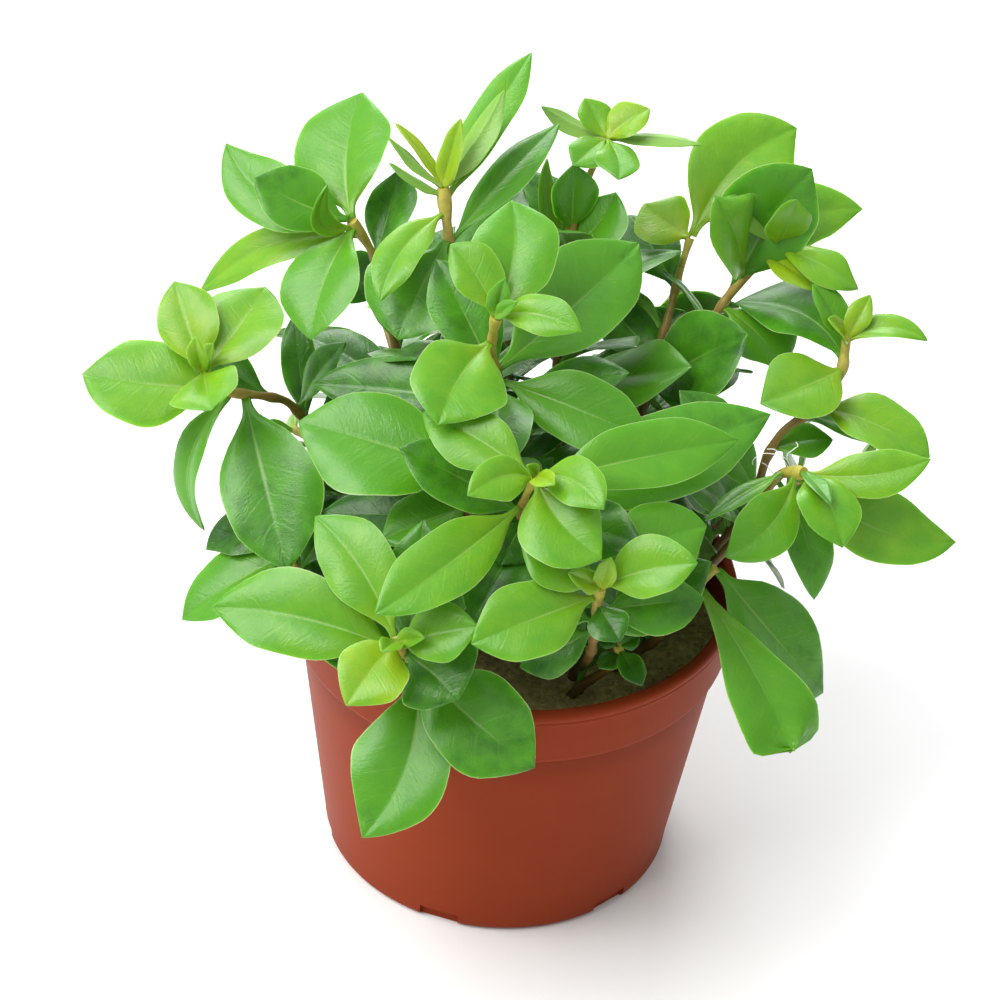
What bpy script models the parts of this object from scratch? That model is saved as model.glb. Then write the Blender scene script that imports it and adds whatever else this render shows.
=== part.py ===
# Potted red ludwigia: a bushy plant with green leaves in a small terracotta-brown nursery pot.
# Lengths are in millimetres until a mesh is made. The origin is the centre of the pot's base.
# The front of the plant faces -Y.
import math

import bmesh
import bpy
import numpy as np
from mathutils import Vector
from mathutils.bvhtree import BVHTree

MM = 0.001
GAP = 0.3

# Pot
POT_HEIGHT = 40.0
RIM_RADIUS = 27.5
BASE_RADIUS = 22.0
COLLAR_DROP = 7.7
WALL = 1.2
FLOOR = 1.6
POT_SIDES = 40
NOTCH_COUNT = 6
NOTCH_SIZE = (5.0, 3.0, 2.0)
NOTCH_TURN = 14.0

# Soil
SOIL_TOP = 34.0
SOIL_RINGS = 4
SOIL_SIDES = 24
SOCKET_DEPTH = 3.0

# Leaves and stems
LEAF_THICK = 0.5
STEM_FOOT = 1.0
STEM_TIP = 0.6
STEM_SIDES = 5
STEM_RUNS = 10
LINE_POINTS = 61
SOCKET_STEPS = 3
WELD = 0.002
FLAT_ANGLE = 0.004
NUDGES = ((0, 0, 0), (0.04, 0.02, 0.03), (-0.07, 0.03, 0.02), (0.02, -0.09, 0.05), (0.06, 0.05, -0.12))

# The view that the leaf table is read in: pixels of a 1000-pixel square picture.
# Depth is counted from the centre of the rim towards the eye.
VIEW_ELEVATION = math.radians(38.0)
VIEW_ROLL = math.radians(4.7)
VIEW_DISTANCE = 450.0
VIEW_FOCAL = 3675.6
VIEW_CENTRE = (515.1, 570.6)
RIM_CENTRE = np.array([0.0, 0.0, POT_HEIGHT])
BACK = np.array([0.0, -math.cos(VIEW_ELEVATION), math.sin(VIEW_ELEVATION)])
_UP = np.array([0.0, math.sin(VIEW_ELEVATION), math.cos(VIEW_ELEVATION)])
_SIDE = np.array([1.0, 0.0, 0.0])
VIEW_RIGHT = math.cos(VIEW_ROLL) * _SIDE + math.sin(VIEW_ROLL) * _UP
VIEW_UP = -math.sin(VIEW_ROLL) * _SIDE + math.cos(VIEW_ROLL) * _UP

# Half-width of a leaf along its length, as a share of the greatest half-width
OUTLINE_AT = (0.0, 0.07, 0.16, 0.28, 0.42, 0.56, 0.70, 0.82, 0.91, 0.97, 1.0)
OUTLINE = {
    "broad": (0.09, 0.12, 0.34, 0.70, 0.93, 1.0, 0.92, 0.68, 0.39, 0.14, 0.03),
    "slim": (0.14, 0.22, 0.45, 0.76, 0.96, 1.0, 0.86, 0.62, 0.36, 0.14, 0.03),
    "cup": (0.35, 0.55, 0.75, 0.92, 1.0, 0.97, 0.84, 0.63, 0.38, 0.16, 0.04),
    "worn": (0.09, 0.12, 0.20, 0.34, 0.50, 0.68, 0.88, 1.0, 0.97, 0.86, 0.70),
}
FOLD = {"broad": 0.16, "slim": 0.30, "cup": 0.55, "worn": 0.16}

# One row per shoot: foot on the soil (x, y), then points of the stem (pixel, pixel, depth),
# then the way the top of the shoot faces (azimuth from +X, elevation, in degrees).
SHOOTS = {
    "left": ((-15, 4), ((320, 450, 2), (297, 406, 6), (268, 397, 11), (244, 393, 13), (222, 391, 14),
                        (204, 372, 17)), (-120, 58)),
    "upper_left": ((-9, 8), ((392, 330, 8), (378, 270, 12), (367, 235, 14), (352, 221, 16)), (-130, 50)),
    "top": ((-3, 4), ((455, 340, 12), (449, 243, 21), (445, 212, 22), (443, 188, 23)), (-90, 85)),
    "centre_top": ((0, -2), ((505, 430, 18), (497, 375, 28), (489, 333, 34), (496, 317, 37)), (-90, 48)),
    "top_right": ((5, 9), ((560, 300, 4), (580, 200, 9), (590, 176, 10), (606, 139, 11)), (-70, 75)),
    "rear_right": ((10, 7), ((650, 380, 0), (673, 300, 0), (684, 252, 1), (690, 238, 1)), (-70, 60)),
    "upper_right": ((13, 2), ((692, 370, 2), (724, 300, 4), (752, 268, 5), (776, 247, 6)), (-40, 60)),
    "far_right": ((17, -3), ((740, 520, 4), (766, 478, 6), (763, 446, 8), (798, 420, 9), (834, 396, 9),
                             (844, 366, 9), (847, 334, 10)), (-40, 70)),
    "right": ((14, -7), ((735, 540, 13), (772, 482, 21), (790, 467, 24), (804, 473, 26)), (-60, 45)),
    "centre": ((1, -8), ((526, 545, 22), (522, 508, 33), (531, 485, 39), (537, 477, 41)), (-90, 50)),
    "centre_right": ((8, -12), ((590, 655, 20), (596, 615, 33), (600, 587, 39)), (-85, 48)),
    "lower_left": ((-10, -12), ((424, 668, 18), (409, 658, 28), (396, 642, 36)), (-100, 48)),
    "low_right": ((13, -10), ((655, 640, 10), (680, 605, 16), (700, 584, 19), (716, 568, 20)), (-50, 50)),
    "plantlet": ((8, -16), ((619, 660, 17), (617, 646, 21)), (-90, 60)),
    "mid_left": ((-8, -4), ((448, 580, 14), (470, 510, 24), (476, 472, 29)), (-100, 60)),
    "low_left": ((-17, -5), ((335, 610, 6), (302, 576, 7), (287, 550, 7)), (-140, 50)),
}

# Shoots at the back and sides, in the pot's own frame: foot, points of the stem, pairs of leaves,
# turn of the first pair and length of its leaves
REAR_SHOOTS = {
    "back_left": ((-12, 13), ((-14, 18, 43), (-17, 26, 51), (-20, 33, 55)), 3, 65.0, 11.0),
    "back_middle": ((-1, 16), ((-2, 22, 46), (-4, 32, 58), (-5, 39, 63)), 3, 65.0, 14.0),
    "back_right": ((8, 18), ((10, 24, 46), (14, 32, 55), (18, 38, 58)), 3, 35.0, 14.0),
    "side_right": ((20, 5), ((23, 7, 42), (32, 11, 47), (41, 15, 48)), 3, 75.0, 13.0),
    "side_left": ((-20, 8), ((-21, 9, 42), (-25, 13, 46), (-29, 16, 47)), 3, 10.0, 12.0),
}

# Leaves read in the view: node or "" where the leaf grows fused with its shoot, shoot, base pixel,
# tip pixel, width in pixels, depth of the tip beyond the base, roll in degrees, arch, form, age 0 to 1
LEAVES = (
    ("leaf_left_outer", "left", (222, 392), (82, 374), 90, 0, 0, 0.10, "broad", 0.35),
    ("", "left", (203, 370), (174, 281), 64, -2, 0, 0.10, "broad", 0.2),
    ("", "left", (206, 370), (266, 287), 84, -4, 0, 0.10, "broad", 0.3),
    ("", "left", (203, 372), (212, 410), 74, 8, 0, 0.10, "broad", 0.3),
    ("", "left", (203, 371), (196, 337), 20, 3, 0, 0.05, "cup", 0.2),
    ("", "left", (204, 371), (213, 343), 20, 3, 0, 0.05, "cup", 0.2),
    ("leaf_left_hanging", "left", (245, 394), (288, 571), 102, 5, 0, 0.06, "broad", 0.7),
    ("", "left", (232, 392), (205, 531), 46, -5, 25, 0.16, "slim", 0.6),
    ("leaf_upper_left_tall", "upper_left", (355, 221), (363, 92), 96, -6, 0, 0.08, "broad", 0.5),
    ("leaf_upper_left_far", "upper_left", (352, 221), (226, 143), 66, -5, 0, 0.10, "broad", 0.5),
    ("leaf_upper_left_dark", "upper_left", (352, 221), (254, 177), 66, 3, 0, 0.10, "broad", 0.8),
    ("", "upper_left", (340, 240), (328, 184), 26, 6, 50, 0.05, "slim", 0.35),
    ("", "upper_left", (355, 226), (311, 340), 74, 4, 0, 0.12, "broad", 0.55),
    ("", "upper_left", (367, 236), (199, 294), 44, -9, 0, 0.08, "broad", 0.25),
    ("", "top", (443, 192), (395, 123), 24, 0, 20, 0.08, "slim", 0.0),
    ("", "top", (443, 190), (505, 89), 32, 0, 180, 0.10, "slim", 0.2),
    ("", "top", (443, 190), (388, 137), 18, 3, 180, 0.05, "slim", 0.2),
    ("", "top", (444, 200), (389, 163), 22, 4, 180, 0.05, "slim", 0.3),
    ("", "top", (443, 189), (461, 118), 24, 2, 0, 0.05, "cup", 0.05),
    ("", "top", (446, 208), (532, 52), 44, -9, 0, 0.06, "broad", 0.45),
    ("", "top", (448, 246), (560, 123), 40, -8, 0, 0.08, "broad", 0.7),
    ("", "top", (444, 212), (380, 302), 44, 6, 0, 0.14, "broad", 0.35),
    ("leaf_top_low", "top", (448, 235), (398, 340), 100, 2, 0, 0.10, "broad", 0.75),
    ("leaf_crown_up", "centre_top", (495, 323), (511, 200), 90, -5, 0, 0.10, "broad", 0.5),
    ("", "centre_top", (496, 318), (450, 244), 52, 0, 0, 0.10, "broad", 0.35),
    ("", "centre_top", (496, 318), (582, 332), 42, 4, 0, 0.12, "broad", 0.35),
    ("", "centre_top", (496, 316), (505, 278), 24, 3, 0, 0.05, "cup", 0.5),
    ("", "centre_top", (498, 316), (517, 302), 15, 4, 0, 0.05, "cup", 0.5),
    ("leaf_crown_front", "centre_top", (491, 338), (438, 425), 98, 7, 0, 0.12, "broad", 0.4),
    ("leaf_crown_back", "centre_top", (496, 370), (639, 243), 102, -8, 0, 0.06, "broad", 0.65),
    ("leaf_crown_right", "centre_top", (497, 380), (650, 440), 74, 2, 0, 0.10, "broad", 0.75),
    ("", "centre_top", (500, 405), (312, 384), 64, -5, 0, 0.08, "broad", 0.85),
    ("", "top_right", (558, 385), (692, 367), 66, 11, 0, 0.08, "broad", 0.6),
    ("", "rear_right", (648, 390), (748, 334), 92, 12, 0, 0.08, "broad", 0.8),
    ("", "left", (303, 425), (295, 312), 36, -1, 0, 0.08, "broad", 0.85),
    ("", "upper_left", (376, 262), (398, 170), 50, -3, 0, 0.08, "broad", 0.85),
    ("", "top", (453, 300), (505, 250), 60, -2, 0, 0.08, "broad", 0.9),
    ("", "upper_left", (386, 300), (330, 262), 56, -3, 0, 0.08, "broad", 0.9),
    ("", "upper_left", (390, 320), (455, 262), 60, -3, 0, 0.08, "broad", 0.9),
    ("", "top_right", (562, 290), (600, 232), 60, -4, 0, 0.08, "broad", 0.9),
    ("", "top_right", (560, 320), (510, 270), 60, -4, 0, 0.08, "broad", 0.9),
    ("", "rear_right", (655, 360), (600, 300), 64, -3, 0, 0.08, "broad", 0.9),
    ("", "mid_left", (456, 560), (474, 634), 52, 5, 0, 0.08, "broad", 0.9),
    ("", "centre_right", (594, 630), (520, 668), 56, -3, 0, 0.10, "broad", 0.85),
    ("", "low_right", (692, 592), (632, 520), 66, -3, 0, 0.08, "broad", 0.9),
    ("", "low_left", (298, 572), (362, 490), 60, -5, 0, 0.08, "broad", 0.9),
    ("", "right", (745, 520), (690, 470), 60, -4, 0, 0.08, "broad", 0.9),
    ("", "top_right", (605, 139), (541, 106), 28, 0, 180, 0.12, "slim", 0.2),
    ("", "top_right", (605, 139), (584, 98), 36, -1, 0, 0.08, "slim", 0.35),
    ("", "top_right", (606, 139), (650, 109), 38, 0, 0, 0.10, "slim", 0.12),
    ("", "top_right", (606, 139), (702, 145), 20, 1, 180, 0.12, "slim", 0.25),
    ("", "top_right", (604, 141), (573, 166), 40, 3, 0, 0.10, "broad", 0.45),
    ("", "top_right", (606, 141), (618, 180), 44, 5, 0, 0.10, "broad", 0.45),
    ("", "top_right", (566, 262), (547, 158), 26, 0, 20, 0.08, "slim", 0.3),
    ("", "top_right", (572, 250), (524, 170), 52, -4, 0, 0.08, "broad", 0.85),
    ("", "top_right", (578, 230), (573, 164), 48, 5, 0, 0.08, "broad", 0.6),
    ("", "top_right", (574, 245), (616, 192), 54, 3, 0, 0.10, "broad", 0.6),
    ("", "rear_right", (688, 240), (643, 204), 62, -2, 0, 0.10, "broad", 0.15),
    ("leaf_rear_tall", "rear_right", (688, 240), (797, 128), 100, -4, 0, 0.08, "broad", 0.3),
    ("", "rear_right", (676, 290), (628, 215), 60, -6, 0, 0.10, "broad", 0.85),
    ("", "upper_right", (752, 262), (863, 209), 72, -4, 0, 0.10, "broad", 0.3),
    ("", "upper_right", (775, 248), (720, 206), 34, 4, 180, 0.10, "slim", 0.35),
    ("", "upper_right", (776, 247), (796, 200), 42, 4, 0, 0.10, "broad", 0.3),
    ("", "upper_right", (727, 285), (812, 169), 98, 4, 0, 0.08, "broad", 0.7),
    ("", "upper_right", (741, 276), (713, 198), 60, 7, 0, 0.10, "broad", 0.4),
    ("", "upper_right", (762, 258), (817, 292), 32, 4, 0, 0.12, "slim", 0.05),
    ("", "upper_right", (776, 248), (858, 290), 40, 1, 0, 0.12, "broad", 0.3),
    ("", "far_right", (844, 362), (735, 303), 68, -6, 0, 0.08, "broad", 0.8),
    ("leaf_upper_right_low", "upper_right", (713, 300), (783, 370), 62, 2, 0, 0.08, "broad", 0.55),
    ("", "far_right", (847, 338), (812, 284), 34, 1, 0, 0.12, "slim", 0.45),
    ("", "far_right", (847, 338), (870, 295), 26, 0, 0, 0.08, "slim", 0.1),
    ("", "far_right", (847, 338), (928, 341), 26, 1, 0, 0.12, "slim", 0.3),
    ("", "far_right", (846, 342), (828, 318), 16, 3, 0, 0.08, "cup", 0.1),
    ("", "far_right", (844, 372), (760, 404), 72, 5, 0, 0.12, "broad", 0.3),
    ("", "far_right", (815, 410), (930, 458), 58, 2, 0, 0.10, "broad", 0.3),
    ("", "far_right", (763, 448), (833, 440), 36, -2, 0, 0.10, "broad", 0.6),
    ("leaf_right_side", "right", (800, 471), (931, 459), 48, 2, 0, 0.12, "broad", 0.3),
    ("", "right", (803, 473), (842, 548), 60, 5, 0, 0.12, "broad", 0.4),
    ("", "right", (803, 473), (831, 505), 18, 6, 0, 0.05, "cup", 0.75),
    ("leaf_right_inner", "right", (798, 470), (725, 557), 60, 3, 0, 0.12, "broad", 0.45),
    ("", "right", (784, 470), (705, 521), 28, 4, 55, 0.06, "broad", 0.5),
    ("leaf_right_low", "right", (792, 467), (956, 542), 72, -4, 0, 0.08, "broad", 0.35),
    ("", "right", (776, 478), (814, 600), 46, -2, 0, 0.08, "broad", 0.7),
    ("leaf_centre_up", "centre", (535, 478), (422, 413), 64, -3, 0, 0.12, "broad", 0.4),
    ("", "centre", (535, 481), (467, 496), 46, 5, 0, 0.12, "broad", 0.3),
    ("", "centre", (537, 477), (604, 510), 50, 6, 0, 0.12, "broad", 0.35),
    ("", "centre", (537, 477), (555, 485), 22, 5, 0, 0.05, "cup", 0.1),
    ("", "centre", (536, 477), (527, 465), 14, 4, 0, 0.05, "cup", 0.1),
    ("leaf_centre_down", "centre", (533, 480), (602, 559), 84, 4, 0, 0.12, "broad", 0.38),
    ("", "centre", (525, 520), (500, 566), 50, 3, 0, 0.10, "broad", 0.85),
    ("leaf_centre_left", "centre", (522, 504), (374, 615), 70, 8, 0, 0.08, "broad", 0.4),
    ("leaf_centre_right", "centre", (532, 482), (739, 440), 70, -6, 0, 0.08, "broad", 0.55),
    ("leaf_centre_far_right", "centre", (523, 515), (771, 414), 92, -6, 0, 0.06, "broad", 0.7),
    ("", "centre_right", (600, 588), (521, 544), 52, 1, 0, 0.12, "broad", 0.4),
    ("leaf_centre_right_up", "centre_right", (600, 590), (707, 526), 80, -4, 0, 0.12, "broad", 0.5),
    ("", "centre_right", (600, 588), (698, 563), 62, 4, 0, 0.12, "broad", 0.35),
    ("leaf_centre_right_down", "centre_right", (599, 596), (471, 644), 80, 4, 0, 0.12, "broad", 0.4),
    ("", "centre_right", (600, 587), (568, 573), 24, 4, 0, 0.05, "cup", 0.15),
    ("", "centre_right", (600, 587), (611, 557), 22, 3, 0, 0.05, "cup", 0.15),
    ("", "centre_right", (599, 604), (620, 642), 42, 2, 0, 0.10, "broad", 0.9),
    ("leaf_centre_right_low", "centre_right", (597, 612), (704, 598), 60, -1, 0, 0.08, "broad", 0.75),
    ("leaf_lower_left_up", "lower_left", (397, 643), (315, 516), 74, -3, 0, 0.12, "broad", 0.38),
    ("", "lower_left", (396, 643), (346, 706), 72, 4, 0, 0.14, "broad", 0.12),
    ("", "lower_left", (396, 643), (479, 626), 60, 3, 0, 0.12, "broad", 0.4),
    ("leaf_lower_left_dark", "lower_left", (403, 652), (458, 700), 92, 3, 0, 0.10, "broad", 0.8),
    ("", "lower_left", (396, 642), (382, 652), 20, 5, 0, 0.05, "cup", 0.25),
    ("", "lower_left", (397, 641), (424, 638), 20, 5, 0, 0.05, "cup", 0.25),
    ("leaf_lower_left_side", "lower_left", (405, 654), (212, 608), 88, -3, 0, 0.10, "broad", 0.45),
    ("leaf_lower_left_hang", "lower_left", (414, 661), (535, 768), 100, 3, 0, 0.14, "broad", 0.75),
    ("leaf_lower_left_drop", "lower_left", (418, 664), (362, 838), 100, 3, 0, 0.12, "broad", 0.65),
    ("leaf_low_right_tip", "low_right", (698, 586), (792, 748), 86, 9, 0, 0.14, "worn", 0.5),
    ("leaf_low_right_hang", "low_right", (716, 568), (823, 693), 94, -11, 0, 0.12, "broad", 0.7),
    ("", "plantlet", (617, 650), (642, 686), 26, 3, 0, 0.10, "broad", 0.9),
    ("", "plantlet", (617, 648), (600, 634), 22, 0, 0, 0.10, "broad", 0.9),
    ("", "plantlet", (618, 654), (598, 668), 20, 3, 0, 0.10, "broad", 0.9),
    ("", "plantlet", (617, 648), (640, 636), 22, 0, 0, 0.10, "broad", 0.9),
    ("leaf_mid_left_big", "mid_left", (476, 474), (298, 422), 108, -2, 0, 0.08, "broad", 0.65),
    ("", "mid_left", (472, 505), (382, 540), 64, 2, 0, 0.08, "broad", 0.6),
    ("", "mid_left", (466, 520), (318, 515), 60, -6, 0, 0.08, "broad", 0.9),
    ("", "mid_left", (452, 570), (506, 594), 48, 5, 0, 0.08, "broad", 0.9),
    ("", "low_left", (290, 555), (182, 620), 58, -2, 0, 0.12, "broad", 0.6),
    ("", "low_left", (286, 548), (206, 550), 50, -3, 0, 0.10, "broad", 0.85),
)

# How far the middle of a leaf is drawn aside in the view, in pixels, by the pixel of its tip
SWAY = {
    (82, 374): (0, 6), (266, 287): (6, 0), (467, 496): (0, -10), (604, 510): (4, -10),
    (602, 559): (-9, 3), (698, 563): (0, -4), (707, 526): (-4, -9), (458, 700): (2, -2), (212, 608): (0, -10),
    (823, 693): (-7, 3), (812, 169): (-6, -6),
    (205, 531): (-20, 2), (363, 92): (-9, 4), (226, 143): (-12, 22), (254, 177): (-3, 6), (328, 184): (-22, 16),
    (311, 340): (-5, 0), (199, 294): (-4, -18), (380, 302): (-8, -3), (398, 340): (-1, 2), (511, 200): (10, 2),
    (450, 244): (4, -3), (582, 332): (0, -8), (438, 425): (-5, -3), (639, 243): (4, 3), (692, 367): (2, 6),
    (398, 170): (4, 0), (702, 145): (0, -8), (618, 180): (6, 2), (547, 158): (-10, 0), (616, 192): (8, 6),
    (643, 204): (0, 4), (797, 128): (-10, -12), (863, 209): (-20, -14), (720, 206): (0, -12),
    (735, 303): (15, -12), (783, 370): (2, -4), (928, 341): (0, -10), (760, 404): (4, 3), (930, 458): (0, -4),
    (833, 440): (0, -3), (931, 459): (0, 11), (842, 548): (4, -4), (725, 557): (10, 8), (956, 542): (-9, 20),
    (814, 600): (8, 0), (422, 413): (2, -4), (374, 615): (3, 4), (315, 516): (9, -5), (346, 706): (2, -5),
    (535, 768): (-3, 4), (362, 838): (22, 5), (792, 748): (-3, 2), (206, 550): (2, -16),
}

# How leaves are kept clear of one another
CLEAR = 0.85
SETTLE_ROUNDS = 45
SETTLE_SHARE = 0.35


def clear_scene():
    for obj in list(bpy.data.objects):
        bpy.data.objects.remove(obj, do_unlink=True)


def unit(vector):
    return vector / max(1e-9, float(np.linalg.norm(vector)))


def at(px, py, depth):
    """The point seen at a pixel, at a depth in front of the rim's centre."""
    scale = (VIEW_DISTANCE - depth) / VIEW_FOCAL
    across = (px - VIEW_CENTRE[0]) * scale
    upward = (VIEW_CENTRE[1] - py) * scale
    return RIM_CENTRE + across * VIEW_RIGHT + upward * VIEW_UP + depth * BACK


def pixel_of(point):
    """The pixel and the depth at which a point is seen."""
    offset = point - RIM_CENTRE
    depth = float(offset @ BACK)
    scale = VIEW_FOCAL / (VIEW_DISTANCE - depth)
    return (VIEW_CENTRE[0] + scale * float(offset @ VIEW_RIGHT),
            VIEW_CENTRE[1] - scale * float(offset @ VIEW_UP), depth)


def direction(azimuth, elevation):
    azimuth = math.radians(azimuth)
    elevation = math.radians(elevation)
    flat = math.cos(elevation)
    return np.array([flat * math.cos(azimuth), flat * math.sin(azimuth), math.sin(elevation)])


def smooth_path(points, count):
    """Evenly spaced points of a smooth curve through the given ones."""
    points = np.array(points, float)
    padded = np.vstack([2 * points[0] - points[1], points, 2 * points[-1] - points[-2]])
    fine = []
    for i in range(1, len(padded) - 2):
        p0, p1, p2, p3 = padded[i - 1:i + 3]
        for t in np.linspace(0, 1, 12, endpoint=False):
            fine.append(0.5 * (2 * p1 + (p2 - p0) * t + (2 * p0 - 5 * p1 + 4 * p2 - p3) * t ** 2
                               + (3 * p1 - p0 - 3 * p2 + p3) * t ** 3))
    fine.append(padded[-2])
    fine = np.array(fine)
    run = np.concatenate([[0], np.cumsum(np.linalg.norm(np.diff(fine, axis=0), axis=1))])
    wanted = np.linspace(0, run[-1], count)
    return np.stack([np.interp(wanted, run, fine[:, k]) for k in range(3)], axis=1)


def stem_line(points):
    """Stem centre line: straight runs between a few points of the smooth curve."""
    corners = smooth_path(points, STEM_RUNS + 1)
    shares = np.linspace(0, STEM_RUNS, LINE_POINTS)
    return np.stack([np.interp(shares, range(STEM_RUNS + 1), corners[:, k]) for k in range(3)],
                    axis=1)


def stem_radius(share):
    return STEM_FOOT + (STEM_TIP - STEM_FOOT) * share


def make_stems():
    """Shoot name -> (fine path, facing direction)."""
    stems = {}
    for name, (foot, points, facing) in SHOOTS.items():
        path = [np.array([foot[0], foot[1], SOIL_TOP - SOCKET_DEPTH]),
                np.array([foot[0], foot[1], SOIL_TOP + 0.5])]
        path += [at(*point) for point in points]
        stems[name] = (stem_line(path), direction(*facing))
    for name, (foot, points, *_) in REAR_SHOOTS.items():
        path = [(*foot, SOIL_TOP - SOCKET_DEPTH), (*foot, SOIL_TOP + 0.5), *points]
        outward = math.degrees(math.atan2(points[-1][1], points[-1][0]))
        stems[name] = (stem_line(path), direction(outward, 55))
    return stems


def nearest_station(path, px, py):
    """Share of the stem's length whose point is seen nearest to a pixel."""
    seen = np.array([pixel_of(point)[:2] for point in path])
    return int(np.argmin((seen[:, 0] - px) ** 2 + (seen[:, 1] - py) ** 2)) / (len(path) - 1)


def point_on(path, share):
    place = share * (len(path) - 1)
    low = min(int(place), len(path) - 2)
    return path[low] + (path[low + 1] - path[low]) * (place - low)


class Leaf:
    """One leaf: base, tip, the middle control point of its curve, greatest width and facing."""

    def __init__(self, node, shoot, share, base, tip, width, facing, roll, arch, form, age):
        self.node = node
        self.shoot = shoot
        self.share = share
        self.form = form
        self.age = age
        along = unit(tip - base)
        normal = unit(facing - (facing @ along) * along)
        side = np.cross(along, normal)
        turn = math.radians(roll)
        self.normal = math.cos(turn) * normal + math.sin(turn) * side
        self.width = width
        if node:
            base = base + along * (stem_radius(share) + GAP + 0.15)
        self.base = base
        self.tip = tip
        length = float(np.linalg.norm(tip - base))
        self.middle = 0.5 * (base + tip) + self.normal * arch * length

    def frame(self, t):
        """Centre, side and normal directions at a share of the length."""
        centre = (1 - t) ** 2 * self.base + 2 * t * (1 - t) * self.middle + t ** 2 * self.tip
        along = unit(2 * (1 - t) * (self.middle - self.base) + 2 * t * (self.tip - self.middle))
        normal = unit(self.normal - (self.normal @ along) * along)
        return centre, np.cross(along, normal), normal

    def half_width(self, t):
        shape = float(np.interp(t, OUTLINE_AT, OUTLINE[self.form]))
        return max(0.28, 0.5 * self.width * shape)

    def rows(self, stations, columns):
        """Points of the middle surface and the normals, one row per station."""
        points = []
        normals = []
        for t in stations:
            centre, side, normal = self.frame(t)
            half = self.half_width(t)
            lift = FOLD[self.form] * half * min(1.0, 4 * t) * (1.0 - 0.5 * t)
            points.append([centre + side * half * s + normal * lift * abs(s) for s in columns])
            normals.append([normal for _ in columns])
        return np.array(points), np.array(normals)


def apparent_share(along, facing):
    """How much of a leaf's true width shows across its length in the view."""
    side = np.cross(along, unit(facing - (facing @ along) * along))
    flat_side = side - (side @ BACK) * BACK
    flat_along = unit(along - (along @ BACK) * BACK)
    return max(0.5, float(np.linalg.norm(flat_side - (flat_side @ flat_along) * flat_along)))


def make_leaves(stems):
    leaves = []
    for node, shoot, base_px, tip_px, width, reach, roll, arch, form, age in LEAVES:
        path, facing = stems[shoot]
        share = nearest_station(path, *base_px)
        base = point_on(path, share)
        depth = pixel_of(base)[2]
        tip = at(tip_px[0], tip_px[1], depth + reach)
        scale = (VIEW_DISTANCE - depth) / VIEW_FOCAL
        true_width = width * scale
        if abs(roll) < 20:
            true_width /= apparent_share(unit(tip - base), facing)
        leaf = Leaf(node, shoot, share, base, tip, true_width, facing, roll, arch, form, age)
        aside = SWAY.get(tip_px, (0, 0))
        leaf.middle = leaf.middle + 2 * scale * (aside[0] * VIEW_RIGHT - aside[1] * VIEW_UP)
        leaves.append(leaf)
    for name, (_, _, pairs, turn, longest) in REAR_SHOOTS.items():
        path, facing = stems[name]
        for pair in range(pairs):
            young = pair / (pairs - 1)
            leaves += rear_pair(name, path, facing, young, turn + 90.0 * pair, longest)
    return leaves


def rear_pair(shoot, path, facing, young, turn, longest):
    """Two opposite leaves; each pair is turned a quarter against the one below it."""
    share = 0.46 + 0.52 * young
    length = longest * (1.0 - 0.45 * young ** 2)
    base = point_on(path, share)
    along = unit(point_on(path, min(1.0, share + 0.05)) - point_on(path, max(0.0, share - 0.05)))
    across = unit(np.cross(along, np.array([0.0, 0.0, 1.0])))
    other = np.cross(along, across)
    angle = math.radians(turn)
    out = math.cos(angle) * across + math.sin(angle) * other
    found = []
    for sign in (1, -1):
        rise = 0.20 + 0.55 * young
        heading = unit(sign * out + rise * along + np.array([0.0, 0.0, -0.12]))
        tip = base + heading * length
        face = unit(along + 0.6 * facing)
        found.append(Leaf("", shoot, share, base, tip, 0.52 * length, face, 0, 0.12, "broad",
                          0.85 - 0.6 * young))
    return found


# Keeping leaves clear

SAMPLE_T = np.linspace(0.1, 1.0, 7)
SAMPLE_S = (-1.0, 0.0, 1.0)


def coarse_tree(points):
    rows, columns = points.shape[:2]
    faces = []
    for i in range(rows - 1):
        for j in range(columns - 1):
            a = i * columns + j
            faces.append((a, a + 1, a + columns + 1))
            faces.append((a, a + columns + 1, a + columns))
    return BVHTree.FromPolygons([tuple(p) for p in points.reshape(-1, 3)], faces)


def signed_gap(tree, point):
    """How far a point lies in front of a surface along the view, or None where it misses it."""
    start = Vector(point)
    behind = tree.ray_cast(start, Vector(-BACK), 40.0)
    if behind[0] is not None:
        return behind[3]
    front = tree.ray_cast(start, Vector(BACK), 40.0)
    if front[0] is not None:
        return -front[3]
    return None


def gaps(points, tree):
    flat = points.reshape(-1, 3)
    return [signed_gap(tree, point) for point in flat]


def near(box_a, box_b):
    return bool(np.all(box_a[0] < box_b[1] + 2) and np.all(box_b[0] < box_a[1] + 2))


def view_box(points):
    flat = points.reshape(-1, 3) - RIM_CENTRE
    seen = np.stack([flat @ VIEW_RIGHT, flat @ VIEW_UP], axis=1)
    return seen.min(axis=0), seen.max(axis=0)


def skip_share(first, second):
    """Share of the length near the base that isn't kept clear between two leaves."""
    if first.shoot != second.shoot:
        return 0.0
    if first.node or second.node:
        return 0.12 if abs(first.share - second.share) < 0.06 else 0.0
    return 0.4


def layer_order(leaves, shapes, trees, boxes):
    """For each pair that meets in the view, the sign of (first in front of second)."""
    order = {}
    for i, first in enumerate(leaves):
        for j in range(i + 1, len(leaves)):
            if not near(boxes[i], boxes[j]):
                continue
            found = [g for g in gaps(shapes[i], trees[j]) if g is not None]
            found += [-g for g in gaps(shapes[j], trees[i]) if g is not None]
            if found:
                order[(i, j)] = 1.0 if float(np.mean(found)) >= 0 else -1.0
    return order


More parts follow.
